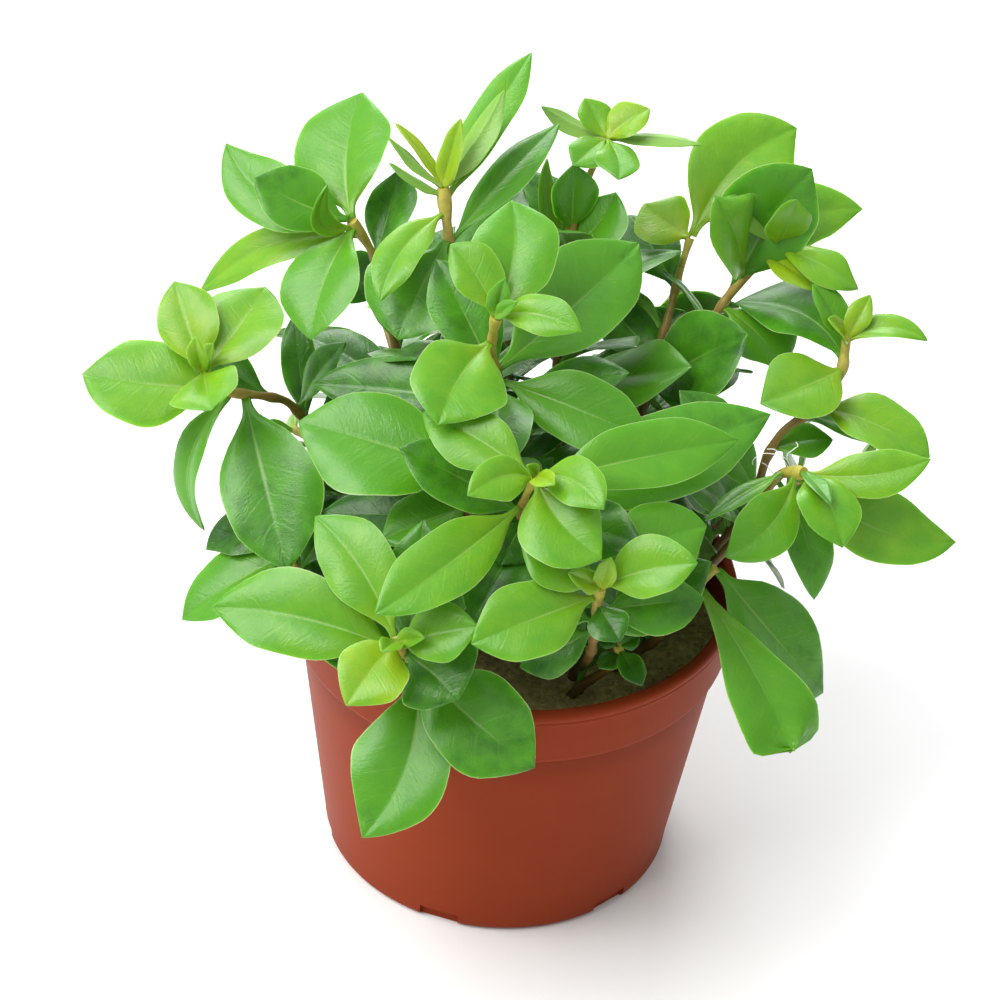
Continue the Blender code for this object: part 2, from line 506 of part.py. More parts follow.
def stem_pushes(leaf, points, stems, sides, key):
    """How far each sample must move along the view to clear the stems."""
    pushes = np.zeros(points.shape[:2])
    for name, (path, _) in stems.items():
        coarse = path[::4]
        offsets = points[:, :, None, :] - coarse[None, None]
        distance = np.linalg.norm(offsets, axis=3)
        share = np.arange(len(coarse)) * 4 / (len(path) - 1)
        limit = stem_radius(share) + 0.65
        if name == leaf.shoot:
            own = np.abs(share - leaf.share) < 0.16
            distance[:, :, own] = 99.0
        depth = offsets @ BACK
        lack = limit[None, None] - distance
        worst = np.unravel_index(np.argmax(lack), lack.shape)
        if lack[worst] <= 0:
            continue
        if (key, name) not in sides:
            sides[(key, name)] = 1.0 if depth[worst] >= 0 else -1.0
        pushes += np.where(lack.max(axis=2) > 0, lack.max(axis=2), 0.0) * sides[(key, name)]
    return pushes


def settle(leaves, stems):
    """Moves tips and middles along the view until the leaves and stems are clear of one another."""
    shapes = [leaf.rows(SAMPLE_T, SAMPLE_S)[0] for leaf in leaves]
    trees = [coarse_tree(shape) for shape in shapes]
    order = layer_order(leaves, shapes, trees, [view_box(shape) for shape in shapes])
    sides = {}
    for _ in range(SETTLE_ROUNDS):
        pushes = [stem_pushes(leaf, shapes[i], stems, sides, i) for i, leaf in enumerate(leaves)]
        for (i, j), sign in order.items():
            skipped = skip_share(leaves[i], leaves[j])
            push_pair(shapes, trees, pushes, i, j, sign, skipped)
            push_pair(shapes, trees, pushes, j, i, -sign, skipped)
        moved = 0.0
        for i, leaf in enumerate(leaves):
            moved = max(moved, move_leaf(leaf, pushes[i]))
            shapes[i] = leaf.rows(SAMPLE_T, SAMPLE_S)[0]
            trees[i] = coarse_tree(shapes[i])
        if moved < 0.02:
            break


def push_pair(shapes, trees, pushes, i, j, sign, skipped):
    columns = shapes[i].shape[1]
    for index, gap in enumerate(gaps(shapes[i], trees[j])):
        row, column = divmod(index, columns)
        if SAMPLE_T[row] < skipped:
            continue
        if gap is None:
            spot = trees[j].find_nearest(Vector(shapes[i][row][column]), CLEAR)
            if spot[0] is None:
                continue
            lack = CLEAR - spot[3]
        else:
            lack = CLEAR - sign * gap
        if lack > 0:
            pushes[i][row][column] += sign * min(lack, 3.0) * 0.5
            if gap is None:
                pushes[j][SAMPLE_T.size // 2] -= 0.1 * sign * lack


def move_leaf(leaf, pushes):
    weight_tip = (SAMPLE_T ** 2)[:, None]
    weight_middle = (2 * SAMPLE_T * (1 - SAMPLE_T))[:, None]
    active = np.abs(pushes) > 1e-6
    if not active.any():
        return 0.0
    tip = float((pushes * weight_tip * active).sum() / active.sum())
    middle = float((pushes * weight_middle * active).sum() / active.sum())
    gain = SETTLE_SHARE * 2.2
    leaf.tip = leaf.tip + BACK * gain * tip
    leaf.middle = leaf.middle + BACK * gain * (middle + 0.5 * tip)
    return gain * max(abs(tip), abs(middle))


# Meshes

def new_object(name, points, faces, material):
    mesh = bpy.data.meshes.new(name)
    mesh.from_pydata([tuple(np.asarray(p) * MM) for p in points], [], faces)
    bm = bmesh.new()
    bm.from_mesh(mesh)
    bmesh.ops.triangulate(bm, faces=bm.faces)
    bmesh.ops.recalc_face_normals(bm, faces=bm.faces)
    if bm.calc_volume(signed=True) < 0:
        bmesh.ops.reverse_faces(bm, faces=bm.faces)
    bm.to_mesh(mesh)
    bm.free()
    obj = bpy.data.objects.new(name, mesh)
    bpy.context.scene.collection.objects.link(obj)
    obj.data.materials.append(material)
    return obj


def make_material(name, colour, roughness):
    material = bpy.data.materials.new(name)
    material.use_nodes = True
    shader = material.node_tree.nodes["Principled BSDF"]
    shader.inputs["Base Color"].default_value = (*colour, 1.0)
    shader.inputs["Roughness"].default_value = roughness
    return material


def leaf_colour(age):
    young = np.array([0.30, 0.52, 0.03])
    old = np.array([0.045, 0.19, 0.03])
    return tuple(young + (old - young) * age)


def plate(rows, normals, thickness):
    """Closed thin plate around a middle surface."""
    count, columns = rows.shape[:2]
    half = normals * (0.5 * thickness)
    points = np.concatenate([(rows + half).reshape(-1, 3), (rows - half).reshape(-1, 3)])
    under = count * columns
    faces = []
    for i in range(count - 1):
        for j in range(columns - 1):
            a = i * columns + j
            faces.append((a, a + 1, a + columns + 1, a + columns))
            faces.append((under + a, under + a + columns, under + a + columns + 1, under + a + 1))
    for i in range(count - 1):
        for a, step in ((i * columns, columns), (i * columns + columns - 1, columns)):
            faces.append((a, a + step, under + a + step, under + a))
    for start in (0, (count - 1) * columns):
        for j in range(columns - 1):
            a = start + j
            faces.append((a, a + 1, under + a + 1, under + a))
    return points, faces


def leaf_stations(leaf):
    if leaf.form == "cup" or leaf.width < 3.6:
        return np.array([0.0, 0.5, 1.0])
    if not leaf.node:
        return np.array([0.0, 0.22, 0.62, 1.0])
    return np.array([0.0, 0.15, 0.37, 0.62, 0.85, 1.0])


def leaf_object(leaf, name, material):
    rows, normals = leaf.rows(leaf_stations(leaf), (-1.0, 0.0, 1.0))
    return new_object(name, *plate(rows, normals, LEAF_THICK), material)


def tube(path, radii, sides):
    """Closed tube along a path."""
    points = []
    faces = []
    side = np.array([1.0, 0.0, 0.0])
    for i, centre in enumerate(path):
        ahead = path[min(i + 1, len(path) - 1)]
        behind = path[max(i - 1, 0)]
        along = unit(ahead - behind)
        side = unit(side - (side @ along) * along)
        other = np.cross(along, side)
        for k in range(sides):
            angle = 2 * math.pi * k / sides
            points.append(centre + radii[i] * (math.cos(angle) * side + math.sin(angle) * other))
    for i in range(len(path) - 1):
        for k in range(sides):
            a = i * sides + k
            b = i * sides + (k + 1) % sides
            faces.append((a, b, b + sides, a + sides))
    faces.append(tuple(range(sides)))
    faces.append(tuple((len(path) - 1) * sides + k for k in range(sides)))
    return points, faces


def closed_volume(mesh):
    """Volume in cubic millimetres, or zero where the mesh isn't closed."""
    bm = bmesh.new()
    bm.from_mesh(mesh)
    closed = all(len(edge.link_faces) == 2 for edge in bm.edges)
    volume = bm.calc_volume(signed=True) / MM ** 3 if closed else 0.0
    bm.free()
    return volume


def boolean_mesh(obj, others, operation):
    """Mesh of obj after it is cut by, or joined with, all the others at once."""
    group = bpy.data.collections.new("operands")
    for other in others:
        group.objects.link(other)
    modifier = obj.modifiers.new("cut", "BOOLEAN")
    modifier.operation = operation
    modifier.solver = "EXACT"
    modifier.operand_type = "COLLECTION"
    modifier.collection = group
    graph = bpy.context.evaluated_depsgraph_get()
    mesh = bpy.data.meshes.new_from_object(obj.evaluated_get(graph))
    obj.modifiers.clear()
    bpy.data.collections.remove(group)
    return mesh


def weld(mesh):
    """Merges coincident points and drops the inner skins of closed pockets."""
    bm = bmesh.new()
    bm.from_mesh(mesh)
    bmesh.ops.remove_doubles(bm, verts=bm.verts, dist=WELD * MM)
    bmesh.ops.dissolve_degenerate(bm, edges=bm.edges, dist=WELD * MM)
    bmesh.ops.triangulate(bm, faces=bm.faces)
    for skin in skins(bm):
        if skin_volume(skin) < 0:
            bmesh.ops.delete(bm, geom=skin, context="FACES")
    bm.to_mesh(mesh)
    bm.free()


def skin_volume(faces):
    """Signed volume within a surface, counted from a point of its own."""
    start = faces[0].verts[0].co.copy()
    total = 0.0
    for face in faces:
        a, b, c = [(vertex.co - start) / MM for vertex in face.verts]
        total += a.dot(b.cross(c)) / 6
    return total


def skins(bm):
    """Faces of each connected surface."""
    left = set(bm.faces)
    found = []
    while left:
        stack = [left.pop()]
        skin = []
        while stack:
            face = stack.pop()
            skin.append(face)
            for edge in face.edges:
                for other in edge.link_faces:
                    if other in left:
                        left.remove(other)
                        stack.append(other)
        found.append(skin)
    return found


def combine(obj, others, operation):
    """Cuts or joins obj with the others, which are then removed.

    Faces that nearly coincide can spoil a union, so the added pieces are nudged until all join whole.
    """
    before = closed_volume(obj.data)
    for nudge in NUDGES:
        for index, other in enumerate(others):
            for vertex in other.data.vertices:
                vertex.co += Vector(nudge) * MM * (1 + 0.1 * index)
        mesh = boolean_mesh(obj, others, operation)
        weld(mesh)
        after = closed_volume(mesh)
        if operation == "UNION" and after > before:
            break
        if operation == "DIFFERENCE" and 0 < after <= before:
            break
        bpy.data.meshes.remove(mesh)
    else:
        raise ValueError("no clean mesh for " + obj.name)
    obj.data = mesh
    for other in others:
        bpy.data.objects.remove(other, do_unlink=True)


def lighten(obj):
    """Merges the flat pieces that a cut left, where the result is still whole."""
    before = closed_volume(obj.data)
    mesh = obj.data.copy()
    bm = bmesh.new()
    bm.from_mesh(mesh)
    bmesh.ops.dissolve_limit(bm, angle_limit=FLAT_ANGLE, verts=bm.verts, edges=bm.edges)
    bmesh.ops.triangulate(bm, faces=bm.faces)
    bm.to_mesh(mesh)
    bm.free()
    after = closed_volume(mesh)
    if abs(after - before) < 0.001 * before:
        obj.data = mesh


def lathe(profile, sides):
    """Solid turned round the Z axis from (radius, height) points that start and end on the axis."""
    points = []
    faces = []
    rings = []
    for radius, height in profile:
        if radius < 1e-6:
            rings.append([len(points)])
            points.append(np.array([0.0, 0.0, height]))
            continue
        rings.append(list(range(len(points), len(points) + sides)))
        for k in range(sides):
            angle = 2 * math.pi * k / sides
            points.append(np.array([radius * math.cos(angle), radius * math.sin(angle), height]))
    for lower, upper in zip(rings, rings[1:]):
        for k in range(sides):
            nxt = (k + 1) % sides
            if len(lower) == 1:
                faces.append((lower[0], upper[nxt], upper[k]))
            elif len(upper) == 1:
                faces.append((lower[k], lower[nxt], upper[0]))
            else:
                faces.append((lower[k], lower[nxt], upper[nxt], upper[k]))
    return points, faces


def pot_profile():
    collar = POT_HEIGHT - COLLAR_DROP
    body_top = RIM_RADIUS - 1.5
    inside_top = RIM_RADIUS - WALL - 0.3
    return [(0, 0), (BASE_RADIUS - 1.4, 0), (BASE_RADIUS - 0.3, 0.6), (BASE_RADIUS, 2.0),
            (body_top, collar - 0.4), (body_top + 0.9, collar), (RIM_RADIUS - 0.35, POT_HEIGHT - 2.0),
            (RIM_RADIUS, POT_HEIGHT - 1.2), (RIM_RADIUS - 0.1, POT_HEIGHT - 0.3),
            (RIM_RADIUS - 0.7, POT_HEIGHT), (inside_top, POT_HEIGHT - 0.5),
            (inside_top - 0.6, collar), (BASE_RADIUS - WALL, FLOOR), (0, FLOOR)]


def make_pot(material):
    pot = new_object("pot", *lathe(pot_profile(), POT_SIDES), material)
    long, wide, high = NOTCH_SIZE
    notches = []
    for k in range(NOTCH_COUNT):
        turn = math.radians(NOTCH_TURN + 360.0 * k / NOTCH_COUNT)
        out = np.array([math.cos(turn), math.sin(turn), 0.0])
        side = np.array([-out[1], out[0], 0.0])
        corners = []
        for height in (-1.0, high):
            for a, b in ((-1, -1), (1, -1), (1, 1), (-1, 1)):
                centre = out * (BASE_RADIUS + 0.4)
                corners.append(centre + out * a * 0.5 * wide + side * b * 0.5 * long
                               + np.array([0, 0, height]))
        faces = [(0, 1, 2, 3), (4, 5, 6, 7), (0, 1, 5, 4), (1, 2, 6, 5), (2, 3, 7, 6), (3, 0, 4, 7)]
        notches.append(new_object("notch", corners, faces, material))
    combine(pot, notches, "DIFFERENCE")
    return pot


def soil_height(x, y):
    """Uneven top of the soil, flat near the wall."""
    return (SOIL_TOP + 0.35 * math.sin(0.55 * x + 0.8) * math.cos(0.47 * y)
            + 0.22 * math.sin(1.1 * y - 0.6 * x))


def inside_radius(height):
    """Inner radius of the pot at a height."""
    collar = POT_HEIGHT - COLLAR_DROP
    low = BASE_RADIUS - WALL
    top = RIM_RADIUS - WALL - 0.9
    if height <= collar:
        return low + (top - low) * (height - FLOOR) / (collar - FLOOR)
    return top + 0.6 * (height - collar) / (POT_HEIGHT - 0.5 - collar)


def make_soil(stems, material):
    sides = SOIL_SIDES
    shrink = math.cos(math.pi / POT_SIDES)
    points = [np.array([0.0, 0.0, soil_height(0, 0)])]
    for ring in range(1, SOIL_RINGS + 1):
        for k in range(sides):
            angle = 2 * math.pi * k / sides
            radius = (inside_radius(SOIL_TOP - 1) * shrink - GAP - 0.1) * ring / SOIL_RINGS
            x = radius * math.cos(angle)
            y = radius * math.sin(angle)
            points.append(np.array([x, y, soil_height(x, y)]))
    low = FLOOR + GAP
    for height in (POT_HEIGHT - COLLAR_DROP - 2.5, low):
        for k in range(sides):
            angle = 2 * math.pi * k / sides
            radius = inside_radius(height) * shrink - GAP - 0.1
            points.append(np.array([radius * math.cos(angle), radius * math.sin(angle), height]))
    points.append(np.array([0.0, 0.0, low]))
    faces = [(0, 1 + k, 1 + (k + 1) % sides) for k in range(sides)]
    for ring in range(SOIL_RINGS + 1):
        for k in range(sides):
            a = 1 + ring * sides + k
            b = 1 + ring * sides + (k + 1) % sides
            faces.append((a, a + sides, b + sides))
            faces.append((a, b + sides, b))
    last = 1 + (SOIL_RINGS + 1) * sides
    faces += [(last + k, len(points) - 1, last + (k + 1) % sides) for k in range(sides)]
    soil = new_object("soil", points, faces, material)
    sockets = []
    for path, _ in stems.values():
        centres = [point_on(path, k / STEM_RUNS) for k in range(SOCKET_STEPS)]
        centres[0] = centres[0] - np.array([0, 0, GAP])
        widths = [STEM_FOOT + GAP + 0.1] * len(centres)
        sockets.append(new_object("socket", *tube(centres, widths, STEM_SIDES), material))
    combine(soil, sockets, "DIFFERENCE")
    return soil


def make_shoot(name, path, leaves, material):
    shares = np.linspace(0, 1, STEM_RUNS + 1)
    centres = [point_on(path, share) for share in shares]
    radii = [float(stem_radius(share)) for share in shares]
    shoot = new_object("shoot_" + name, *tube(centres, radii, STEM_SIDES), material)
    combine(shoot, [leaf_object(leaf, "part_of_shoot", material) for leaf in leaves], "UNION")
    lighten(shoot)
    return shoot


def build():
    clear_scene()
    stems = make_stems()
    leaves = make_leaves(stems)
    settle(leaves, stems)
    make_pot(make_material("pot plastic", (0.26, 0.055, 0.022), 0.4))
    make_soil(stems, make_material("soil", (0.09, 0.06, 0.03), 0.9))
    for name, (path, _) in stems.items():
        fused = [leaf for leaf in leaves if leaf.shoot == name and not leaf.node]
        make_shoot(name, path, fused, make_material("shoot " + name, (0.16, 0.36, 0.03), 0.4))
    for leaf in leaves:
        if leaf.node:
            colour = leaf_colour(leaf.age)
            leaf_object(leaf, leaf.node, make_material("blade " + leaf.node, colour, 0.4))
    return leaves, stems


LEAF_LIST, STEM_LIST = build()
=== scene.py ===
# Potted ludwigia: a bushy green plant in a small red-brown nursery pot.
# Lengths are in millimetres until a mesh is made. The origin is the centre of the pot's base.
# The front of the plant faces -Y.
import math
from collections import namedtuple
from functools import partialmethod
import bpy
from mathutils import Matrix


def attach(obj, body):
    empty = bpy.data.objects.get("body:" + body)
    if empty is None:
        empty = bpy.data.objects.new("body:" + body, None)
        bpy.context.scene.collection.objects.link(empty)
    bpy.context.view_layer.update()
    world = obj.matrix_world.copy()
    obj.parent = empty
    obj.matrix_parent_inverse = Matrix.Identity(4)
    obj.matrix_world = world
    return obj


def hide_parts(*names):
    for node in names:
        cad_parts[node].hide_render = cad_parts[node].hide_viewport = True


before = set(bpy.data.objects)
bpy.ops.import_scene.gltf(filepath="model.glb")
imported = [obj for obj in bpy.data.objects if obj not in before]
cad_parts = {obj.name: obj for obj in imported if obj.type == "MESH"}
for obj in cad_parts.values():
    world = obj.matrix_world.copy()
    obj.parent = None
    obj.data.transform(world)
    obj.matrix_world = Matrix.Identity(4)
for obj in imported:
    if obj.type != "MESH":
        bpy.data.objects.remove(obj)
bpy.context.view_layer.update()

from types import SimpleNamespace

import bpy
import bmesh
import numpy as np
from mathutils import Matrix, Vector
from mathutils.bvhtree import BVHTree

MM = 0.001
GAP = 0.3

# Pot
POT_HEIGHT = 40.0
RIM_RADIUS = 27.5
BASE_RADIUS = 22.0
COLLAR_DROP = 7.7
COLLAR = POT_HEIGHT - COLLAR_DROP
WALL = 1.2
FLOOR = 1.6
POT_SIDES = 144
POT_SHARP = 40
NOTCH_COUNT = 6
NOTCH_SIZE = (5.0, 3.0, 2.0)
NOTCH_TURN = 14.0
NOTCH_OUT = 0.4
BOX_FACES = ((0, 1, 2, 3), (4, 5, 6, 7), (0, 1, 5, 4), (1, 2, 6, 5), (2, 3, 7, 6), (3, 0, 4, 7))

# Pot outline: the rounded foot, the step out to the collar as (out from the body's top, up from the
# collar's foot), the step to the lip as (in from the rim, down from the top), and the lip's two rounds
BASE_RING = 8.0
BODY_ROWS = 9
FOOT_EDGE = 1.3
FOOT_ROUND = 1.2
COLLAR_OUT = 1.5
COLLAR_EDGE = ((0.22, -0.45), (0.55, -0.25), (0.80, 0.05), (0.92, 0.45))
LIP_STEP = ((0.45, 2.3), (0.38, 1.9), (0.12, 1.65))
LIP_ROUND = 0.8
LIP_INNER = 0.5

# Soil
SOIL_TOP = 34.0
SOIL_RINGS = 40
SOIL_SIDES = 120
SOIL_PLAY = 0.12
SOIL_EDGE = (24.9, 23.0)
CRUMB_REACH = 24.0
SOCKET_DEPTH = 3.0
CRUMB_COUNT = 1500

# Stems
STEM_FOOT = 1.0
STEM_TIP = 0.6
STEM_RUNS = 10
LINE_POINTS = 61
SPAN_STEPS = 12
STEM_RISE = 0.5
HEADING_STEP = 0.05
STEM_SIDES = 12
STEM_RINGS = 90
STEM_SLIM = 0.68
SWELLING = 0.20
SWELLING_SHARE = 0.022
SMOOTHING_ROUNDS = 4

# Leaves
BLADE_THICK = 0.32
FINE_GRID = (28, 17)
PLAIN_GRID = (20, 13)
BLADE_SHARP = 70
LEAST_HALF = 0.28
FOOT_STAND = 0.15
FOOT_REACH = 0.4

# How much closer the lines of a blade's grid stand at its ends and at its midrib
END_CROWDING = 0.055
RIB_CROWDING = 1.3
GRID_EDGE = 1e-4
PLATE_LIFT = 0.1
PLATE_MERGE = 0.002

# Surface of a blade: shares of its length or of its half-width, and thicknesses in millimetres
VEIN_PAIRS = 6.0
VEIN_SLANT = 0.20
FOLD_OPENING = 4.0
FOLD_CLOSING = 0.5
FOLD_SOFTNESS = 0.026
FOLD_DROP = 0.161
QUILTED_HALF = 5.0
SIDE_UNEVEN = 0.10
EDGE_UNEVEN = 0.035
STALK_SHARE = 0.25
STALK_HALF = 0.30
STALK_THICK_SHARE = 0.18
STALK_THICK = 0.35
LEAST_BLADE_HALF = 0.015
MARGIN_THICK = 0.45
RIB_WIDTH = 0.11
RIB_TAPER = 0.75
GROOVE_FROM = (0.04, 0.2)
SEED_SPREAD = 50.0

# Waves of a blade: turns along it, by its seed and across it. The worn end has its own across it:
# turns, height and fall of its curl, and turns, start and depth of its fraying.
SIDE_TURNS = 29.0
EDGE_TURNS = (13.0, 60.0, 2.0)
WAVE_TURNS = (9.0, 40.0, 1.3)
WORN_FROM = 0.80
WORN_CURL = (5.0, 0.5, 0.6)
FRAYING = ((7.0, 1.0, 0.35), (17.0, 0.0, 0.20))

# What is known at a point of a blade
NUMBER_FIELDS = ("along", "across", "layer", "half_width", "fold", "form", "seed")
VECTOR_FIELDS = ("base", "middle", "tip", "facing")

# Finish of the leaves. Mottling and grain are the scale and the detail of a noise, and how far it
# shifts the colour. The creases have a scale along and across the blade.
# The stops run from the youngest leaf to the oldest.
LEAF_STOPS = ((0.0, (0.255, 0.385, 0.008)), (0.25, (0.150, 0.345, 0.010)), (0.5, (0.086, 0.290, 0.009)),
              (0.75, (0.068, 0.258, 0.010)), (1.0, (0.015, 0.092, 0.003)))
LEAF_ROUGHNESS = 0.19
MOTTLING = (0.40, 4.0, 0.46)
GRAIN = (3.5, 2.0, 0.12)
TIP_DARKER = 0.16
VEIN_SUNK = 0.06
CREASE_SCALES = (2.8, 1.2)
CREASE_HEIGHT = 0.17
GRAIN_HEIGHT = 0.12
PORE_SCALE = 9.0
PORE_HEIGHT = 0.05
HEART_COLOUR = (0.30, 0.38, 0.012)
RIM_COLOUR = (0.36, 0.52, 0.20)
RIB_COLOUR = (0.30, 0.46, 0.12)
UNDER_COLOUR = (0.23, 0.42, 0.10)

# Colours of the stems from the foot to the top, and of the rest
STEM_STOPS = ((0.0, (0.060, 0.030, 0.008)), (0.40, (0.110, 0.058, 0.012)), (0.8, (0.24, 0.155, 0.024)),
              (1.0, (0.40, 0.36, 0.055)))
FIBRE_COLOURS = ((0.62, 0.62, 0.55), (0.82, 0.82, 0.78))
POT_COLOURS = ((0.222, 0.029, 0.007), (0.272, 0.041, 0.011))
# Painted shade: the darker colour of the band just under the pot's collar
COLLAR_SHADE_COLOUR = (0.110, 0.014, 0.004)
FLOW_SCALES = (40.0, 500.0)
SOIL_STOPS = ((0.25, (0.080, 0.060, 0.018)), (0.5, (0.280, 0.220, 0.075)), (0.75, (0.540, 0.440, 0.200)))
FLOOR_REACH = 3000.0
FLOOR_COLOURS = ((0.86, 0.86, 0.86), (0.83, 0.83, 0.83))

# Light: the studio's colour, its strength from the dark to the bright side, and the lamps as
# name, place in metres, size, power and colour
WORLD_COLOUR = (0.98, 0.99, 1.0)
WORLD_STRENGTH = (0.20, 0.90)
BRIGHT_SIDE = (-0.45, 0.15, 0.88)
LAMPS = (("key", (-0.60, -0.30, 0.95), 0.8, 15.0, (1.0, 0.99, 0.97)),
         ("fill", (0.7, -0.6, 0.5), 0.8, 0.6, (1.0, 1.0, 1.0)),
         ("back", (-0.2, 0.9, 0.8), 0.7, 10.5, (0.98, 0.99, 1.0)))

# The view that the leaf table is read in: pixels of a 1000-pixel square picture.
# Depth is counted from the centre of the rim towards the eye.
VIEW_ELEVATION = math.radians(38.0)
VIEW_ROLL = math.radians(4.7)
VIEW_DISTANCE = 450.0
VIEW_FOCAL = 3675.6
VIEW_CENTRE = (515.1, 570.6)
PICTURE = 1000.0
SENSOR = 36.0
RIM_CENTRE = np.array([0.0, 0.0, POT_HEIGHT])
UPWARD = np.array([0.0, 0.0, 1.0])
BACK = np.array([0.0, -math.cos(VIEW_ELEVATION), math.sin(VIEW_ELEVATION)])
LEVEL_UP = np.array([0.0, math.sin(VIEW_ELEVATION), math.cos(VIEW_ELEVATION)])
LEVEL_RIGHT = np.array([1.0, 0.0, 0.0])
VIEW_RIGHT = math.cos(VIEW_ROLL) * LEVEL_RIGHT + math.sin(VIEW_ROLL) * LEVEL_UP
VIEW_UP = -math.sin(VIEW_ROLL) * LEVEL_RIGHT + math.cos(VIEW_ROLL) * LEVEL_UP

# Half-width of a leaf along its length, as a share of the greatest half-width
OUTLINE_AT = (0.0, 0.07, 0.16, 0.28, 0.42, 0.56, 0.70, 0.82, 0.91, 0.97, 1.0)
OUTLINE = {
    "broad": (0.09, 0.12, 0.34, 0.70, 0.93, 1.0, 0.92, 0.68, 0.39, 0.14, 0.03),
    "slim": (0.14, 0.22, 0.45, 0.76, 0.96, 1.0, 0.86, 0.62, 0.36, 0.14, 0.03),
    "cup": (0.35, 0.55, 0.75, 0.92, 1.0, 0.97, 0.84, 0.63, 0.38, 0.16, 0.04),
    "worn": (0.09, 0.12, 0.20, 0.34, 0.50, 0.68, 0.88, 1.0, 0.97, 0.86, 0.70),
}
FORMS = tuple(OUTLINE)
FOLD = {"broad": 0.16, "slim": 0.30, "cup": 0.55, "worn": 0.16}
TIP_STRAIGHT_FROM = 0.8

# One row per shoot: foot on the soil (x, y), then points of the stem (pixel, pixel, depth),
# then the way the top of the shoot faces (azimuth from +X, elevation, in degrees).
SHOOTS = {
    "left": ((-15, 4), ((320, 450, 2), (297, 406, 6), (268, 397, 11), (244, 393, 13), (222, 391, 14),
                        (204, 372, 17)), (-120, 58)),
    "upper_left": ((-9, 8), ((392, 330, 8), (378, 270, 12), (367, 235, 14), (352, 221, 16)), (-130, 50)),
    "top": ((-3, 4), ((455, 340, 12), (449, 243, 21), (445, 212, 22), (443, 188, 23)), (-90, 85)),
    "centre_top": ((0, -2), ((505, 430, 18), (497, 375, 28), (489, 333, 34), (496, 317, 37)), (-90, 48)),
    "top_right": ((5, 9), ((560, 300, 4), (580, 200, 9), (590, 176, 10), (606, 139, 11)), (-70, 75)),
    "rear_right": ((10, 7), ((650, 380, 0), (673, 300, 0), (684, 252, 1), (690, 238, 1)), (-70, 60)),
    "upper_right": ((13, 2), ((692, 370, 2), (724, 300, 4), (752, 268, 5), (776, 247, 6)), (-40, 60)),
    "far_right": ((17, -3), ((740, 520, 4), (766, 478, 6), (763, 446, 8), (798, 420, 9), (834, 396, 9),
                             (844, 366, 9), (847, 334, 10)), (-40, 70)),
    "right": ((14, -7), ((735, 540, 13), (772, 482, 21), (790, 467, 24), (804, 473, 26)), (-60, 45)),
    "centre": ((1, -8), ((526, 545, 22), (522, 508, 33), (531, 485, 39), (537, 477, 41)), (-90, 50)),
    "centre_right": ((8, -12), ((590, 655, 20), (596, 615, 33), (600, 587, 39)), (-85, 48)),
    "lower_left": ((-10, -12), ((424, 668, 18), (409, 658, 28), (396, 642, 36)), (-100, 48)),
    "low_right": ((13, -10), ((655, 640, 10), (680, 605, 16), (700, 584, 19), (716, 568, 20)), (-50, 50)),
    "plantlet": ((8, -16), ((619, 660, 17), (617, 646, 21)), (-90, 60)),
    "mid_left": ((-8, -4), ((448, 580, 14), (470, 510, 24), (476, 472, 29)), (-100, 60)),
    "low_left": ((-17, -5), ((335, 610, 6), (302, 576, 7), (287, 550, 7)), (-140, 50)),
}

# Shoots at the back and sides, in the pot's own frame: foot, points of the stem, pairs of leaves,
# turn of the first pair and length of its leaves
REAR_SHOOTS = {
    "back_left": ((-12, 13), ((-14, 18, 43), (-17, 26, 51), (-20, 33, 55)), 3, 65.0, 11.0),
    "back_middle": ((-1, 16), ((-2, 22, 46), (-4, 32, 58), (-5, 39, 63)), 3, 65.0, 14.0),
    "back_right": ((8, 18), ((10, 24, 46), (14, 32, 55), (18, 38, 58)), 3, 35.0, 14.0),
    "side_right": ((20, 5), ((23, 7, 42), (32, 11, 47), (41, 15, 48)), 3, 75.0, 13.0),
    "side_left": ((-20, 8), ((-21, 9, 42), (-25, 13, 46), (-29, 16, 47)), 3, 10.0, 12.0),
}

# Leaves of the rear shoots. The share of the stem, the rise and the age are given at the lowest pair,
# with what they gain up to the youngest.
REAR_SHARE = (0.46, 0.52)
REAR_RISE = (0.20, 0.55)
REAR_AGE = (0.85, -0.6)
REAR_SHORTER = 0.45
REAR_DROOP = 0.12
REAR_WIDTH = 0.52
REAR_FACING = 55
REAR_LEAN = 0.6

# A leaf's true width is worked out from its foreshortening, but for one that is rolled on its side
MOST_ROLL = 20
LEAST_SHOWN = 0.5

